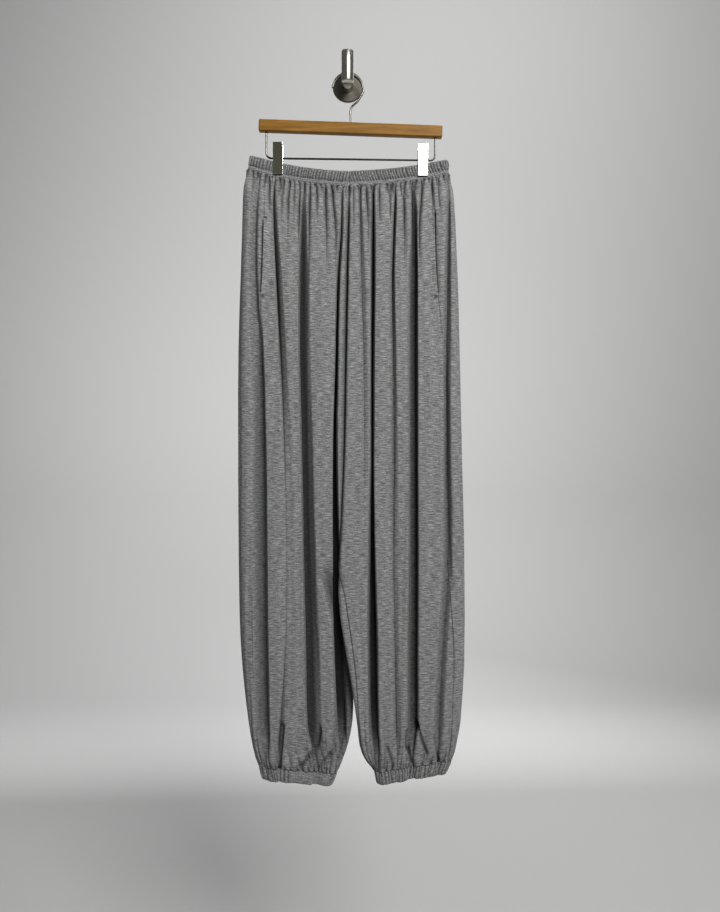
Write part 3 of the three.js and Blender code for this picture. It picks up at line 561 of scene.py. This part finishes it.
def panel_points(half, face):
    """Grid of points of a panel, with the distance along the section as u and the height as v."""
    count = COLUMNS[face] * COLUMN_STEPS[face]
    column = np.linspace(0, COLUMNS[face], count + 1)
    points, uv, painted_shade = [], [], []
    pocket_top, pocket_bottom = POCKET[half]
    for z in row_heights():
        s = Section(half, z)
        stops = s.stops(face)
        distance = np.interp(column, [stop[0] for stop in stops], [stop[1] for stop in stops])
        at, normal = s.at(distance), s.normals(distance)
        top, top_shade = waist_relief(column, z)
        low, low_shade = cuff_relief(half, face, column, z)
        height = top + low
        # Painted shade: the darkest of that of the folds, the gathers and the cuff slits.
        shade_here = np.maximum(s.painted_shade_at(distance), np.maximum(top_shade, low_shade))
        height += soft_relief(half, face, column, z) * clamp((WAIST_Z - z) / 60) * clamp((z - CUFF_Z) / 60)
        from_start, from_end = distance - distance[0], distance[-1] - distance
        if face == "front":
            crease = crease_relief(SIGN[half] * at[:, 0], z + lift(SIGN[half] * at[:, 0], z))
            height -= crease
            # Painted shade in the creases.
            shade_here = np.maximum(shade_here, 0.75 * clamp(crease / 7))
            height = height * smooth(from_start / 6)
            to_seam = from_end
            if not s.above:
                height += INSEAM_RIDGE * np.exp(-((from_start - 2.6) / 1.4) ** 2)
                # Painted shade along the inseam edge.
                shade_here = np.maximum(shade_here, 0.8 * np.exp(-((from_start - 0.4) / 0.8) ** 2))
        else:
            height = height * smooth(from_end / 6)
            to_seam = from_start
            in_pocket = smooth((pocket_top - z) / 14) * smooth((z - pocket_bottom) / 14)
            height -= 3.2 * in_pocket * (1 - smooth(to_seam / 9))
            # Painted shade in the pocket opening next to the side seam.
            shade_here = np.maximum(shade_here, 0.95 * in_pocket * (1 - smooth((to_seam - 1) / 3)))
        height -= SEAM_GROOVE * np.exp(-(to_seam / 0.9) ** 2)
        at = at + normal * height[:, None]
        limit = s.inner + 0.1
        if s.above:
            at[:, 0] = np.maximum(at[:, 0], limit)
        x = SIGN[half] * at[:, 0]
        points.append(np.stack([x, at[:, 1], z + lift(x, z)], -1))
        uv.append(np.stack([distance * MM, np.full_like(distance, z * MM)], -1))
        painted_shade.append(shade_here)
    return np.array(points), np.array(uv), np.array(painted_shade)


# Meshes.

def mesh_object(name, vertices, faces, uv=None, smooth_faces=True):
    """uv holds one pair for each corner of each face."""
    mesh = bpy.data.meshes.new(name)
    mesh.from_pydata([tuple(v) for v in np.asarray(vertices) * MM], [], faces)
    if uv is not None:
        layer = mesh.uv_layers.new(name="cloth")
        layer.data.foreach_set("uv", np.asarray(uv, dtype=np.float32).ravel())
    if smooth_faces:
        mesh.polygons.foreach_set("use_smooth", [True] * len(mesh.polygons))
    mesh.update()
    obj = bpy.data.objects.new(name, mesh)
    bpy.context.scene.collection.objects.link(obj)
    return obj


def set_painted_shade(obj, painted_shade):
    """Keeps how much shade is painted into the cloth's colour at each point, from 0 to 1, for the cloth's
    material.
    """
    layer = obj.data.attributes.new("painted_shade", "FLOAT", "POINT")
    layer.data.foreach_set("value", np.asarray(painted_shade, dtype=np.float32).ravel())


def grid_object(name, points, uv, flip):
    """A sheet from a grid of points."""
    rows, columns = points.shape[:2]
    r, c = np.meshgrid(np.arange(rows - 1), np.arange(columns - 1), indexing="ij")
    r, c = r.ravel(), c.ravel()
    corners = [(r, c), (r + 1, c), (r + 1, c + 1), (r, c + 1)]
    if flip:
        corners.reverse()
    faces = np.stack([a * columns + b % columns for a, b in corners], -1)
    pairs = np.stack([uv[a, b] for a, b in corners], 1)
    return mesh_object(name, points.reshape(-1, 3), faces.tolist(), pairs)


def dress(obj, material, nodes=()):
    obj.data.materials.append(material)
    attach(obj, "root")
    if nodes:
        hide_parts(*nodes)
    return obj


def thicken(obj, thickness=CLOTH):
    wall = obj.modifiers.new("wall", "SOLIDIFY")
    wall.thickness = thickness * MM
    wall.offset = -1
    return obj


def tube(name, path, radius, sides=16, closed=False):
    """A round tube along a path of points, with flat ends."""
    path = np.asarray(path, dtype=float)
    tangent = np.gradient(path, axis=0)
    tangent /= np.linalg.norm(tangent, axis=1)[:, None]
    side = np.cross(tangent[0], [0, 1, 0])
    if np.linalg.norm(side) < 0.1:
        side = np.cross(tangent[0], [1, 0, 0])
    rings = []
    for point, along_path in zip(path, tangent):
        side = side - along_path * np.dot(side, along_path)
        side /= np.linalg.norm(side)
        other = np.cross(along_path, side)
        angle = np.linspace(0, 2 * np.pi, sides, endpoint=False)
        rings.append(point + radius * (np.outer(np.cos(angle), side) + np.outer(np.sin(angle), other)))
    count = len(path)
    vertices = np.concatenate(rings)
    faces = []
    for i in range(count - 1):
        for k in range(sides):
            n = (k + 1) % sides
            faces.append((i * sides + k, i * sides + n, (i + 1) * sides + n, (i + 1) * sides + k))
    faces.append(tuple(range(sides - 1, -1, -1)))
    faces.append(tuple((count - 1) * sides + k for k in range(sides)))
    return mesh_object(name, vertices, faces)


def turned(name, profile, sides=96):
    """A turned body from a profile of (radius, height) along +Z that starts and ends on the axis."""
    vertices, faces, rings = [], [], []
    angle = np.linspace(0, 2 * np.pi, sides, endpoint=False)
    for radius, height in profile:
        start = len(vertices)
        if radius == 0:
            vertices.append((0, 0, height))
            rings.append([start] * sides)
        else:
            vertices += [(radius * math.cos(a), radius * math.sin(a), height) for a in angle]
            rings.append(list(range(start, start + sides)))
    for low, high in zip(rings, rings[1:]):
        for k in range(sides):
            n = (k + 1) % sides
            face = [low[k], low[n], high[n], high[k]]
            faces.append(tuple(dict.fromkeys(face)))
    return mesh_object(name, vertices, faces)


def rounded_box(name, size, radius, segments=3):
    half = np.asarray(size) / 2
    corners = [(x, y, z) for x in (-1, 1) for y in (-1, 1) for z in (-1, 1)]
    vertices = [half * np.asarray(corner) for corner in corners]
    faces = [(0, 1, 3, 2), (4, 6, 7, 5), (0, 4, 5, 1), (2, 3, 7, 6), (0, 2, 6, 4), (1, 5, 7, 3)]
    obj = mesh_object(name, vertices, faces)
    bevel = obj.modifiers.new("edges", "BEVEL")
    bevel.width = radius * MM
    bevel.segments = segments
    bevel.harden_normals = True
    return obj


def put(obj, matrix):
    """Moves a piece's mesh to its place, so that its origin stays at the frame's."""
    move = matrix.copy()
    move.translation = move.translation * MM
    obj.data.transform(move)
    return obj


# Materials.

def new_material(name):
    material = bpy.data.materials.new(name)
    material.use_nodes = True
    nodes = material.node_tree.nodes
    links = material.node_tree.links
    return material, nodes, links, nodes["Principled BSDF"]


def node(nodes, kind, **inputs):
    """A node with values for its inputs, whose names are written with underscores."""
    made = nodes.new(kind)
    for name, value in inputs.items():
        made.inputs[name.replace("_", " ")].default_value = value
    return made


def ramp(nodes, stops):
    made = nodes.new("ShaderNodeValToRGB")
    elements = made.color_ramp.elements
    while len(elements) < len(stops):
        elements.new(0.5)
    for element, (position, color) in zip(elements, stops):
        element.position = position
        element.color = (*color, 1)
    return made


def stretched_noise(nodes, links, source, scale, **settings):
    """The value of a noise that is stretched by a different scale along each axis."""
    mapping = nodes.new("ShaderNodeMapping")
    mapping.inputs["Scale"].default_value = scale
    links.new(source, mapping.inputs["Vector"])
    noise = node(nodes, "ShaderNodeTexNoise", Scale=1.0, **settings)
    links.new(mapping.outputs["Vector"], noise.inputs["Vector"])
    return noise.outputs["Fac"]


def blended(nodes, links, first, second, share):
    both = nodes.new("ShaderNodeMix")
    both.data_type = "FLOAT"
    both.inputs["Factor"].default_value = share
    links.new(first, both.inputs["A"])
    links.new(second, both.inputs["B"])
    return both.outputs["Result"]


def add_bump(nodes, links, shader, height, strength, distance):
    bump = node(nodes, "ShaderNodeBump", Strength=strength, Distance=distance)
    links.new(height, bump.inputs["Height"])
    links.new(bump.outputs["Normal"], shader.inputs["Normal"])


JERSEY_DARK = (0.07, 0.072, 0.074)
JERSEY_MIDDLE = (0.21, 0.214, 0.217)
JERSEY_LIGHT = (0.47, 0.478, 0.48)
# The colour that the painted shade in folds, gathers, creases and seams multiplies the jersey by.
PAINTED_SHADE_COLOR = (0.07, 0.07, 0.072)


def jersey(name):
    """Heather jersey: short sideways streaks of darker and lighter yarn over a fine knit, with shade painted
    into its colour where the cloth lies deep in folds, gathers, creases and seams.
    """
    material, nodes, links, shader = new_material(name)
    place = nodes.new("ShaderNodeUVMap")
    place.uv_map = "cloth"
    uv = place.outputs["UV"]
    streaks = stretched_noise(nodes, links, uv, (85, 900, 1), Detail=3.0, Roughness=0.65, Distortion=0.25)
    knit = stretched_noise(nodes, links, uv, (380, 1400, 1), Detail=2.0, Roughness=0.6)
    color = ramp(nodes, [(0.36, JERSEY_DARK), (0.5, JERSEY_MIDDLE), (0.66, JERSEY_LIGHT)])
    links.new(blended(nodes, links, streaks, knit, 0.35), color.inputs["Fac"])
    # Painted shade: the colour is multiplied toward a dark grey by each point's painted shade value.
    painted_shade = nodes.new("ShaderNodeAttribute")
    painted_shade.attribute_name = "painted_shade"
    shade = nodes.new("ShaderNodeMix")
    shade.data_type = "RGBA"
    shade.blend_type = "MULTIPLY"
    shade.inputs[7].default_value = (*PAINTED_SHADE_COLOR, 1)
    links.new(painted_shade.outputs["Fac"], shade.inputs[0])
    links.new(color.outputs["Color"], shade.inputs[6])
    links.new(shade.outputs[2], shader.inputs["Base Color"])
    add_bump(nodes, links, shader, knit, 0.35, 0.0006)
    shader.inputs["Roughness"].default_value = 0.92
    shader.inputs["Sheen Weight"].default_value = 0.18
    shader.inputs["Sheen Roughness"].default_value = 0.55
    shader.inputs["Specular IOR Level"].default_value = 0.25
    return material


def metal(name, color, roughness, streak):
    """Bare metal with fine brushing along one axis."""
    material, nodes, links, shader = new_material(name)
    place = nodes.new("ShaderNodeTexCoord").outputs["Object"]
    brushing = stretched_noise(nodes, links, place, streak, Detail=4.0, Roughness=0.6)
    spread = nodes.new("ShaderNodeMapRange")
    spread.inputs["To Min"].default_value = roughness * 0.75
    spread.inputs["To Max"].default_value = roughness * 1.3
    links.new(brushing, spread.inputs["Value"])
    links.new(spread.outputs["Result"], shader.inputs["Roughness"])
    shader.inputs["Base Color"].default_value = (*color, 1)
    shader.inputs["Metallic"].default_value = 1.0
    return material


def oak(name):
    """Varnished oak with its grain along X."""
    material, nodes, links, shader = new_material(name)
    place = nodes.new("ShaderNodeTexCoord").outputs["Object"]
    rings = stretched_noise(nodes, links, place, (6, 60, 60), Detail=5.0, Roughness=0.55, Distortion=1.2)
    pores = stretched_noise(nodes, links, place, (40, 900, 900), Detail=3.0, Roughness=0.7)
    color = ramp(nodes, [
        (0.3, (0.13, 0.062, 0.01)), (0.5, (0.245, 0.131, 0.025)), (0.7, (0.35, 0.195, 0.042)),
    ])
    links.new(blended(nodes, links, rings, pores, 0.3), color.inputs["Fac"])
    links.new(color.outputs["Color"], shader.inputs["Base Color"])
    add_bump(nodes, links, shader, pores, 0.15, 0.0004)
    shader.inputs["Roughness"].default_value = 0.5
    shader.inputs["Specular IOR Level"].default_value = 0.2
    shader.inputs["Coat Weight"].default_value = 0.04
    shader.inputs["Coat Roughness"].default_value = 0.35
    return material


def plain(name, color, roughness):
    material, nodes, links, shader = new_material(name)
    place = nodes.new("ShaderNodeTexCoord")
    noise = node(nodes, "ShaderNodeTexNoise", Scale=900.0, Detail=2.0)
    links.new(place.outputs["Object"], noise.inputs["Vector"])
    add_bump(nodes, links, shader, noise.outputs["Fac"], 0.1, 0.0002)
    shader.inputs["Base Color"].default_value = (*color, 1)
    shader.inputs["Roughness"].default_value = roughness
    return material


JERSEY = jersey("heather jersey with painted shade")
ELASTIC = jersey("ruched jersey with painted shade")
STEEL = metal("satin steel", (0.62, 0.59, 0.54), 0.28, (60, 60, 900))
CHROME = metal("bright steel", (0.82, 0.82, 0.81), 0.1, (300, 300, 300))
WIRE_STEEL = metal("wire steel", (0.13, 0.125, 0.117), 0.16, (300, 300, 300))
PLATE_STEEL = metal("plate steel", (0.29, 0.274, 0.247), 0.85, (60, 60, 900))
OAK = oak("varnished oak")
THREAD = plain("sewing thread", (0.3, 0.305, 0.31), 0.8)
# A plain near-black for thin strips inside the clip plates.
DARK_STRIP = plain("clip strips", (0.012, 0.012, 0.012), 0.6)


def make_panels():
    for half in ("left", "right"):
        for face in ("front", "back"):
            points, uv, painted_shade = panel_points(half, face)
            obj = grid_object(f"jersey_{face}_{half}", points, uv, flip=half == "left")
            set_painted_shade(obj, painted_shade)
            thicken(obj)
            dress(obj, JERSEY, [f"{face}_{half}"])


BAND_STEPS = [
    (6, -1.3), (0.6, -1.3), (0.2, -0.6), (0, 0), (0.4, 0.3), (1.4, 0.5), (3.0, 0.5), (4.8, 0.4),
    (5.8, 0.1), (6.4, -0.1), (7.4, 0.5), (9.2, 1.2), (12, 1.6), (15.5, 1.7), (18.5, 1.5), (21, 1.0),
    (22.6, 0.5), (23.6, -0.1), (24, -0.7), (23.6, -1.2), (20, -1.3), (12, -1.3),
]


# How strongly shade is painted between the ridges of the waistband and of the cuffs.
RUCHE_SHADE = 0.95
CUFF_SHADE = 0.7


def ruche(distance, seed):
    """Uneven upright ridges, about 4.5 mm apart."""
    t = distance / 4.6 + 0.45 * wander(distance / 17, seed) + 0.2 * wander(distance / 5.1, seed + 2)
    return np.abs(np.sin(np.pi * t)) ** 0.7


def waist_loop(z, height, moved, ruched):
    """One loop of the waistband, from the centre front round the left side and back."""
    loops, painted_shades = [], []
    for half in ("left", "right"):
        s = Section(half, z)
        distance = np.linspace(0, s.total, 481)
        at, normal = s.at(distance), s.normals(distance)
        x = SIGN[half] * at[:, 0]
        turn = distance if half == "left" else 2 * s.total - distance
        near_clip = np.exp(-((x - CLIP_X[half]) / 11) ** 6)
        strength = ruched * (1 - 0.75 * near_clip)
        ridge = ruche(turn + 0.25 * height, 1)
        shift = moved * (1 - 0.4 * near_clip) + strength * (ridge - 0.45)
        ends = smooth(distance / 2.5) * smooth((s.total - distance) / 2.5)
        at = at + normal * (shift * ends + moved * (1 - ends))[:, None]
        x = SIGN[half] * at[:, 0]
        base = WAIST_Z + 0.3 + height + lift(x, z)
        loops.append(np.stack([x, at[:, 1], base], -1))
        # Painted shade between the ruched ridges.
        painted_shades.append(clamp(strength / 3) * RUCHE_SHADE * (1 - ridge) ** 1.3)
    left, right = loops
    left_shade, right_shade = painted_shades
    points = np.concatenate([left, right[::-1][1:-1]])
    return points, np.concatenate([left_shade, right_shade[::-1][1:-1]])


def make_waistband():
    rows, painted_shades = [], []
    for height, moved in BAND_STEPS + BAND_STEPS[:1]:
        z = mix(WAIST_Z, BAND_TOP_Z, height / BAND_HEIGHT)
        outside = moved > -1
        ruched = 2.5 * smooth((height - 6.2) / 2) + 0.9 if outside else 0
        points, painted_shade = waist_loop(z, height, moved, float(ruched))
        rows.append(points)
        painted_shades.append(painted_shade)
    band = finish_band("jersey_waistband", np.array(rows), "waistband")
    set_painted_shade(band, painted_shades[:-1])


def finish_band(name, points, replaced):
    """A closed band from loops of points, the last of which is the first again."""
    steps = np.linalg.norm(np.diff(points, axis=1, append=points[:, :1]), axis=2)
    u = np.concatenate([np.zeros((len(points), 1)), np.cumsum(steps, axis=1)], axis=1)
    v = np.cumsum(np.linalg.norm(np.diff(points, axis=0, prepend=points[:1]), axis=2).mean(axis=1))
    uv = np.stack([u * MM, np.repeat(v[:, None], u.shape[1], axis=1) * MM], -1)
    rows, columns = len(points) - 1, points.shape[1]
    r, c = np.meshgrid(np.arange(rows), np.arange(columns), indexing="ij")
    r, c = r.ravel(), c.ravel()
    corners = [(r, c), (r, c + 1), (r + 1, c + 1), (r + 1, c)]
    faces = np.stack([(a % rows) * columns + b % columns for a, b in corners], -1)
    pairs = np.stack([uv[a, b] for a, b in corners], 1)
    obj = mesh_object(name, points[:-1].reshape(-1, 3), faces.tolist(), pairs)
    face_outward(obj)
    dress(obj, ELASTIC, [replaced])
    return obj


def face_outward(obj):
    """Turns a closed mesh's faces outward."""
    work = bmesh.new()
    work.from_mesh(obj.data)
    bmesh.ops.recalc_face_normals(work, faces=work.faces)
    work.to_mesh(obj.data)
    work.free()


CUFF_STEPS = [
    (6, -1.3), (0.6, -1.3), (0.2, -0.6), (0, 0), (0.5, 0.6), (1.6, 0.9), (3.0, 0.8), (5.0, 1.3),
    (8.0, 1.7), (11.5, 1.8), (15, 1.6), (18, 1.1), (20, 0.5), (20.8, -0.1), (21, -0.7),
    (20.6, -1.2), (17, -1.3), (11, -1.3),
]
PLAIN_STRETCH = {"left": (-94.5, -24), "right": (1000, 1001)}


def make_cuff(half):
    rows, painted_shades = [], []
    for height, moved in CUFF_STEPS + CUFF_STEPS[:1]:
        z = mix(CUFF_Z, CUFF_END_Z, height / CUFF_HEIGHT)
        s = Section(half, z)
        distance = np.linspace(0, s.total, 561)[:-1]
        at, normal = s.at(distance), s.normals(distance)
        x = SIGN[half] * at[:, 0]
        low, high = PLAIN_STRETCH[half]
        is_front = distance < s.length[s.turn]
        plain_part = smooth((x - low) / 4) * smooth((high - x) / 4) * is_front
        strength = (moved > -1) * 2.0 * (1 - 0.8 * plain_part)
        phase = distance * 2 * np.pi * 60 / s.total
        leaning = 0.05 * height * wander(phase / 11, 7)
        ridge = np.abs(np.sin(phase / 2 + 1.5 * wander(phase / 7, 2) + leaning)) ** 0.8
        ends = smooth(distance / 3) * smooth((s.total - distance) / 3)
        at = at + normal * (moved + strength * (ridge - 0.35) * ends)[:, None]
        x = SIGN[half] * at[:, 0]
        wavy = 0.9 * wander(distance / 14, 5) * (height / CUFF_HEIGHT)
        base = CUFF_Z - 0.3 - height + wavy + lift(x, z)
        rows.append(np.stack([x, at[:, 1], base], -1))
        # Painted shade between the cuff's ridges.
        painted_shades.append(strength / 2 * CUFF_SHADE * (1 - ridge) ** 1.3)
    cuff = finish_band(f"jersey_cuff_{half}", np.array(rows), f"cuff_{half}")
    set_painted_shade(cuff, painted_shades[:-1])


# Hanger and wall hook.
BAR = {"length": 298, "height": 19, "depth": 12, "x": 4.7, "z": -78, "tilt": 0.036}
WIRE = 1.6
HOOK_RADIUS = 25
NECK_RADIUS = 8.5
RAIL = {"left": -132, "right": 142, "left_z": -125.5, "right_z": -129, "bend": 8}
CLIP = {"width": 16, "height": 51, "thickness": 1.2, "lean": 0.06, "seat": 4.3, "grip": 19.5}


def curve_points(control, count):
    """A smooth path through control points."""
    control = np.asarray(control, dtype=float)
    padded = np.vstack([2 * control[0] - control[1], control, 2 * control[-1] - control[-2]])
    spans = len(control) - 1
    path = []
    for t in np.linspace(0, spans - 1e-6, count):
        i = int(t)
        f = t - i
        a, b, c, d = padded[i:i + 4]
        path.append(0.5 * (2 * b + (c - a) * f + (2 * a - 5 * b + 4 * c - d) * f ** 2
                           + (3 * b - a - 3 * c + d) * f ** 3))
    return np.array(path)


def make_hanger():
    centre_z = NECK_RADIUS + 0.3 + WIRE - HOOK_RADIUS
    control = []
    for degrees in range(172, -23, -14):
        a = math.radians(degrees)
        control.append((HOOK_RADIUS * math.cos(a), MID_Y, centre_z + HOOK_RADIUS * math.sin(a)))
    control += [(16, MID_Y, -33), (7.5, MID_Y, -41), (4.6, MID_Y, -48), (4.7, MID_Y, -58)]
    control.append((BAR["x"], MID_Y, BAR["z"] + BAR["height"] / 2 - 2))
    hook = tube("hanger_wire_hook", curve_points(control, 140), WIRE)
    dress(hook, WIRE_STEEL, ["hanger_hook"])

    bar = rounded_box("hanger_oak_bar", (BAR["length"], BAR["depth"], BAR["height"]), 2.2, 4)
    put(bar, Matrix.Translation((BAR["x"], MID_Y, BAR["z"])) @ Matrix.Rotation(BAR["tilt"], 4, "Y"))
    dress(bar, OAK, ["hanger_bar"])

    left, right, bend = RAIL["left"], RAIL["right"], RAIL["bend"]
    lz, rz = RAIL["left_z"], RAIL["right_z"]

    def under(x):
        return BAR["z"] - BAR["height"] / 2 - (x - BAR["x"]) * math.tan(BAR["tilt"]) + 2

    corner = np.linspace(0, np.pi / 2, 12)
    path = [(left, MID_Y, z) for z in np.linspace(under(left), lz + bend, 8)[:-1]]
    path += [(left + bend * (1 - math.cos(a)), MID_Y, lz + bend * (1 - math.sin(a))) for a in corner]
    path += [(x, MID_Y, mix(lz, rz, (x - left) / (right - left)))
             for x in np.linspace(left + bend, right - bend, 40)[1:-1]]
    path += [(right - bend * (1 - math.sin(a)), MID_Y, rz + bend * (1 - math.cos(a))) for a in corner]
    path += [(right, MID_Y, z) for z in np.linspace(rz + bend, under(right), 8)[1:]]
    dress(tube("hanger_wire_rail", path, WIRE), WIRE_STEEL, ["hanger_rail"])


def rail_z(x):
    return mix(RAIL["left_z"], RAIL["right_z"], (x - RAIL["left"]) / (RAIL["right"] - RAIL["left"]))


def make_clip(half):
    x = CLIP_X[half]
    bottom = WAIST_Z + BAND_HEIGHT + float(lift(np.float64(x), WAIST_Z)) - CLIP["grip"]
    for facing, name in ((-1, "front"), (1, "back")):
        size = (CLIP["width"], CLIP["thickness"], CLIP["height"])
        plate = rounded_box(f"clip_plate_{half}_{name}", size, 0.45, 2)
        lean = Matrix.Rotation(-facing * CLIP["lean"], 4, "X")
        to_corner = Matrix.Translation((0, facing * CLIP["thickness"] / 2, CLIP["height"] / 2))
        place = Matrix.Translation((x, MID_Y + facing * CLIP["seat"], bottom)) @ lean
        put(plate, place @ to_corner)
        dress(plate, CHROME, [f"clip_{half}_{name}"])
        # A thin near-black strip inside the plate, 7 mm high, reaching about 1 mm below its lower edge.
        strip = rounded_box(f"clip_strip_{half}_{name}", (CLIP["width"] - 1, 1.0, 7), 0.3, 2)
        put(strip, place @ Matrix.Translation((0, -facing * 0.35, 2.6)))
        dress(strip, DARK_STRIP)
    turns = 6
    t = np.linspace(0, turns * 2 * np.pi, turns * 24)
    z = rail_z(x)
    coil = np.stack([x - 5.5 + 11 * t / t[-1], MID_Y + 4.5 * np.cos(t), z + 4.5 * np.sin(t)], -1)
    dress(tube(f"clip_coil_{half}", coil, 0.8, sides=8), WIRE_STEEL, [f"clip_{half}_spring"])


def make_wall_hook():
    plate = turned("hook_plate", [
        (0, 0), (24.2, 0), (25, 0.8), (25, 4.6), (24.7, 5.4), (24, 5.9), (22.5, 6), (14, 6), (0, 6),
    ])
    put(plate, Matrix.Rotation(math.pi / 2, 4, "X"))
    dress(plate, PLATE_STEEL, ["wall_plate"])
    neck = turned("hook_neck_bar", [
        (0, 5.5), (9.4, 5.5), (9.4, 6.4), (8.7, 7), (NECK_RADIUS, 8), (NECK_RADIUS, 36.5), (0, 36.5),
    ])
    put(neck, Matrix.Rotation(math.pi / 2, 4, "X"))
    dress(neck, STEEL, ["hook_neck"])
    upright = turned("hook_upright_bar", [
        (0, -11), (8.6, -11), (9.2, -10.7), (9.5, -10.1), (9.5, 37.1), (9.2, 37.7), (8.6, 38), (0, 38),
    ])
    put(upright, Matrix.Translation((0, -44.9, 0)))
    dress(upright, STEEL, ["hook_upright"])


def make_pocket_edges():
    """The folded and sewn edges of the pocket openings, on the front panels."""
    for half in ("left", "right"):
        top, bottom = POCKET[half]
        heights = np.linspace(top, bottom, 60)
        across = np.linspace(0, 1, 15)
        points, uv = [], []
        for z in heights:
            s = Section(half, z)
            seam = float(s.length_at(s.seam, "front"))
            distance = seam - POCKET_EDGE * (1 - across) + 0.5
            at, normal = s.at(distance), s.normals(distance)
            stops = s.stops("front")
            column = np.interp(distance, [p[1] for p in stops], [p[0] for p in stops])
            height = waist_relief(column, z)[0]
            height = height + soft_relief(half, "front", column, z) * clamp((WAIST_Z - z) / 60)
            ends = smooth((z - bottom) / 12) * smooth((top - z) / 12)
            rise = mix(-0.5, 1.3, smooth(across * 1.25)) * rounded(1 - across, 0.12)
            stitched = 0.35 * np.exp(-((across * POCKET_EDGE - 5.5) / 0.6) ** 2)
            at = at + normal * (height + (rise - stitched) * mix(0.35, 1, ends) + 0.1)[:, None]
            x = SIGN[half] * at[:, 0]
            points.append(np.stack([x, at[:, 1], z + lift(x, z)], -1))
            uv.append(np.stack([distance * MM, np.full_like(distance, z * MM)], -1))
        points = np.array(points)
        obj = grid_object(f"jersey_pocket_{half}", points, np.array(uv), flip=half == "left")
        thicken(obj, 0.8)
        dress(obj, JERSEY, [f"pocket_{half}_edge"])


TACK = {"width": 5, "turns": 5, "pitch": 0.6, "radius": 0.25}


def make_tacks():
    """The close zigzag stitches that hold both ends of each pocket opening."""
    for half in ("left", "right"):
        for end, z in zip(("top", "bottom"), POCKET[half]):
            path = []
            for i in range(2 * TACK["turns"]):
                s = Section(half, z - TACK["pitch"] * (i - TACK["turns"]))
                seam = float(s.length_at(s.seam, "front"))
                distance = np.array([seam - TACK["width"] * (i % 2) - 0.5])
                at = (s.at(distance) + s.normals(distance) * 1.3)[0]
                x = SIGN[half] * at[0]
                path.append((x, at[1], s.z + float(lift(x, s.z))))
            tack = tube(f"pocket_tack_{half}_{end}", path, TACK["radius"], sides=8)
            dress(tack, THREAD)


# Stage, light and camera.

def make_stage():
    """A pale floor that curves up into a backdrop, far behind the part."""
    floor_z, back_y, front_y, radius, top, half_width = -1750, 3200, -4200, 900, 4200, 5200
    profile = [(front_y, floor_z)]
    for a in np.linspace(0, math.pi / 2, 24):
        profile.append((back_y - radius + radius * math.sin(a), floor_z + radius - radius * math.cos(a)))
    profile.append((back_y, top))
    vertices = [(x, y, z) for y, z in profile for x in (-half_width, half_width)]
    faces = [(2 * i, 2 * i + 1, 2 * i + 3, 2 * i + 2) for i in range(len(profile) - 1)]
    stage = mesh_object("backdrop", vertices, faces)
    stage.data.materials.append(plain("backdrop paint", (0.5, 0.5, 0.5), 0.95))


def area_light(name, place, aim, size, power, color=(1, 1, 1)):
    data = bpy.data.lights.new(name, "AREA")
    data.shape = "RECTANGLE"
    data.size, data.size_y = size
    data.energy = power
    data.color = color
    obj = bpy.data.objects.new(name, data)
    obj.location = place
    obj.rotation_euler = (Vector(aim) - Vector(place)).to_track_quat("-Z", "Y").to_euler()
    obj.visible_camera = False
    bpy.context.scene.collection.objects.link(obj)
    return obj


def make_dark_card():
    """A dark corner of the room behind the camera, which only the metal parts reflect."""
    width, height, y = 1.7, 2.0, -2.95
    left, bottom = -1.82, -0.3
    right, top = left + width, bottom + height
    corners = [(left, bottom), (right, bottom), (right, top), (left, top)]
    card = mesh_object("dark_corner", [(x / MM, y / MM, z / MM) for x, z in corners], [(0, 1, 2, 3)])
    card.data.materials.append(plain("dark corner paint", (0.19, 0.183, 0.135), 0.9))
    card.visible_camera = False
    card.visible_diffuse = False
    card.visible_shadow = False


def make_lights():
    world = bpy.data.worlds.new("soft room")
    world.use_nodes = True
    world.node_tree.nodes["Background"].inputs["Color"].default_value = (0.97, 0.98, 1.0, 1)
    world.node_tree.nodes["Background"].inputs["Strength"].default_value = 0.14
    bpy.context.scene.world = world
    area_light("window", (0.95, -2.3, 1.05), (0, 0, -0.5), (1.1, 1.2), 78, (1.0, 0.99, 0.97))
    area_light("bright window", (0.56, -3.0, 0.7), (0.2, 0, -0.15), (1.0, 1.3), 8, (1.0, 0.97, 0.88))
    area_light("behind", (0.6, 2.4, 0.1), (0, 0, -0.4), (2.2, 2.0), 20)
    area_light("backdrop light", (0.4, 0.8, 2.6), (0.0, 3.2, 0.2), (3.2, 1.2), 52)
    area_light("low backdrop light", (-0.4, 1.3, -0.5), (-0.5, 3.2, -0.5), (3.4, 1.4), 24)
    make_dark_card()


def make_camera():
    data = bpy.data.cameras.new("camera")
    data.sensor_fit = "VERTICAL"
    data.sensor_height = 36
    data.lens = 30.97
    data.clip_end = 50
    camera = bpy.data.objects.new("camera", data)
    camera.location = (0.02, -1.3, -0.6096)
    camera.rotation_euler = (math.pi / 2, 0, 0)
    bpy.context.scene.collection.objects.link(camera)
    bpy.context.scene.camera = camera


make_camera()
make_panels()
make_waistband()
for side in ("left", "right"):
    make_cuff(side)
    make_clip(side)
make_pocket_edges()
make_tacks()
make_hanger()
make_wall_hook()
make_stage()
make_lights()
view = bpy.context.scene.view_settings
view.view_transform = "Standard"
view.exposure = 0.35
view.gamma = 0.8
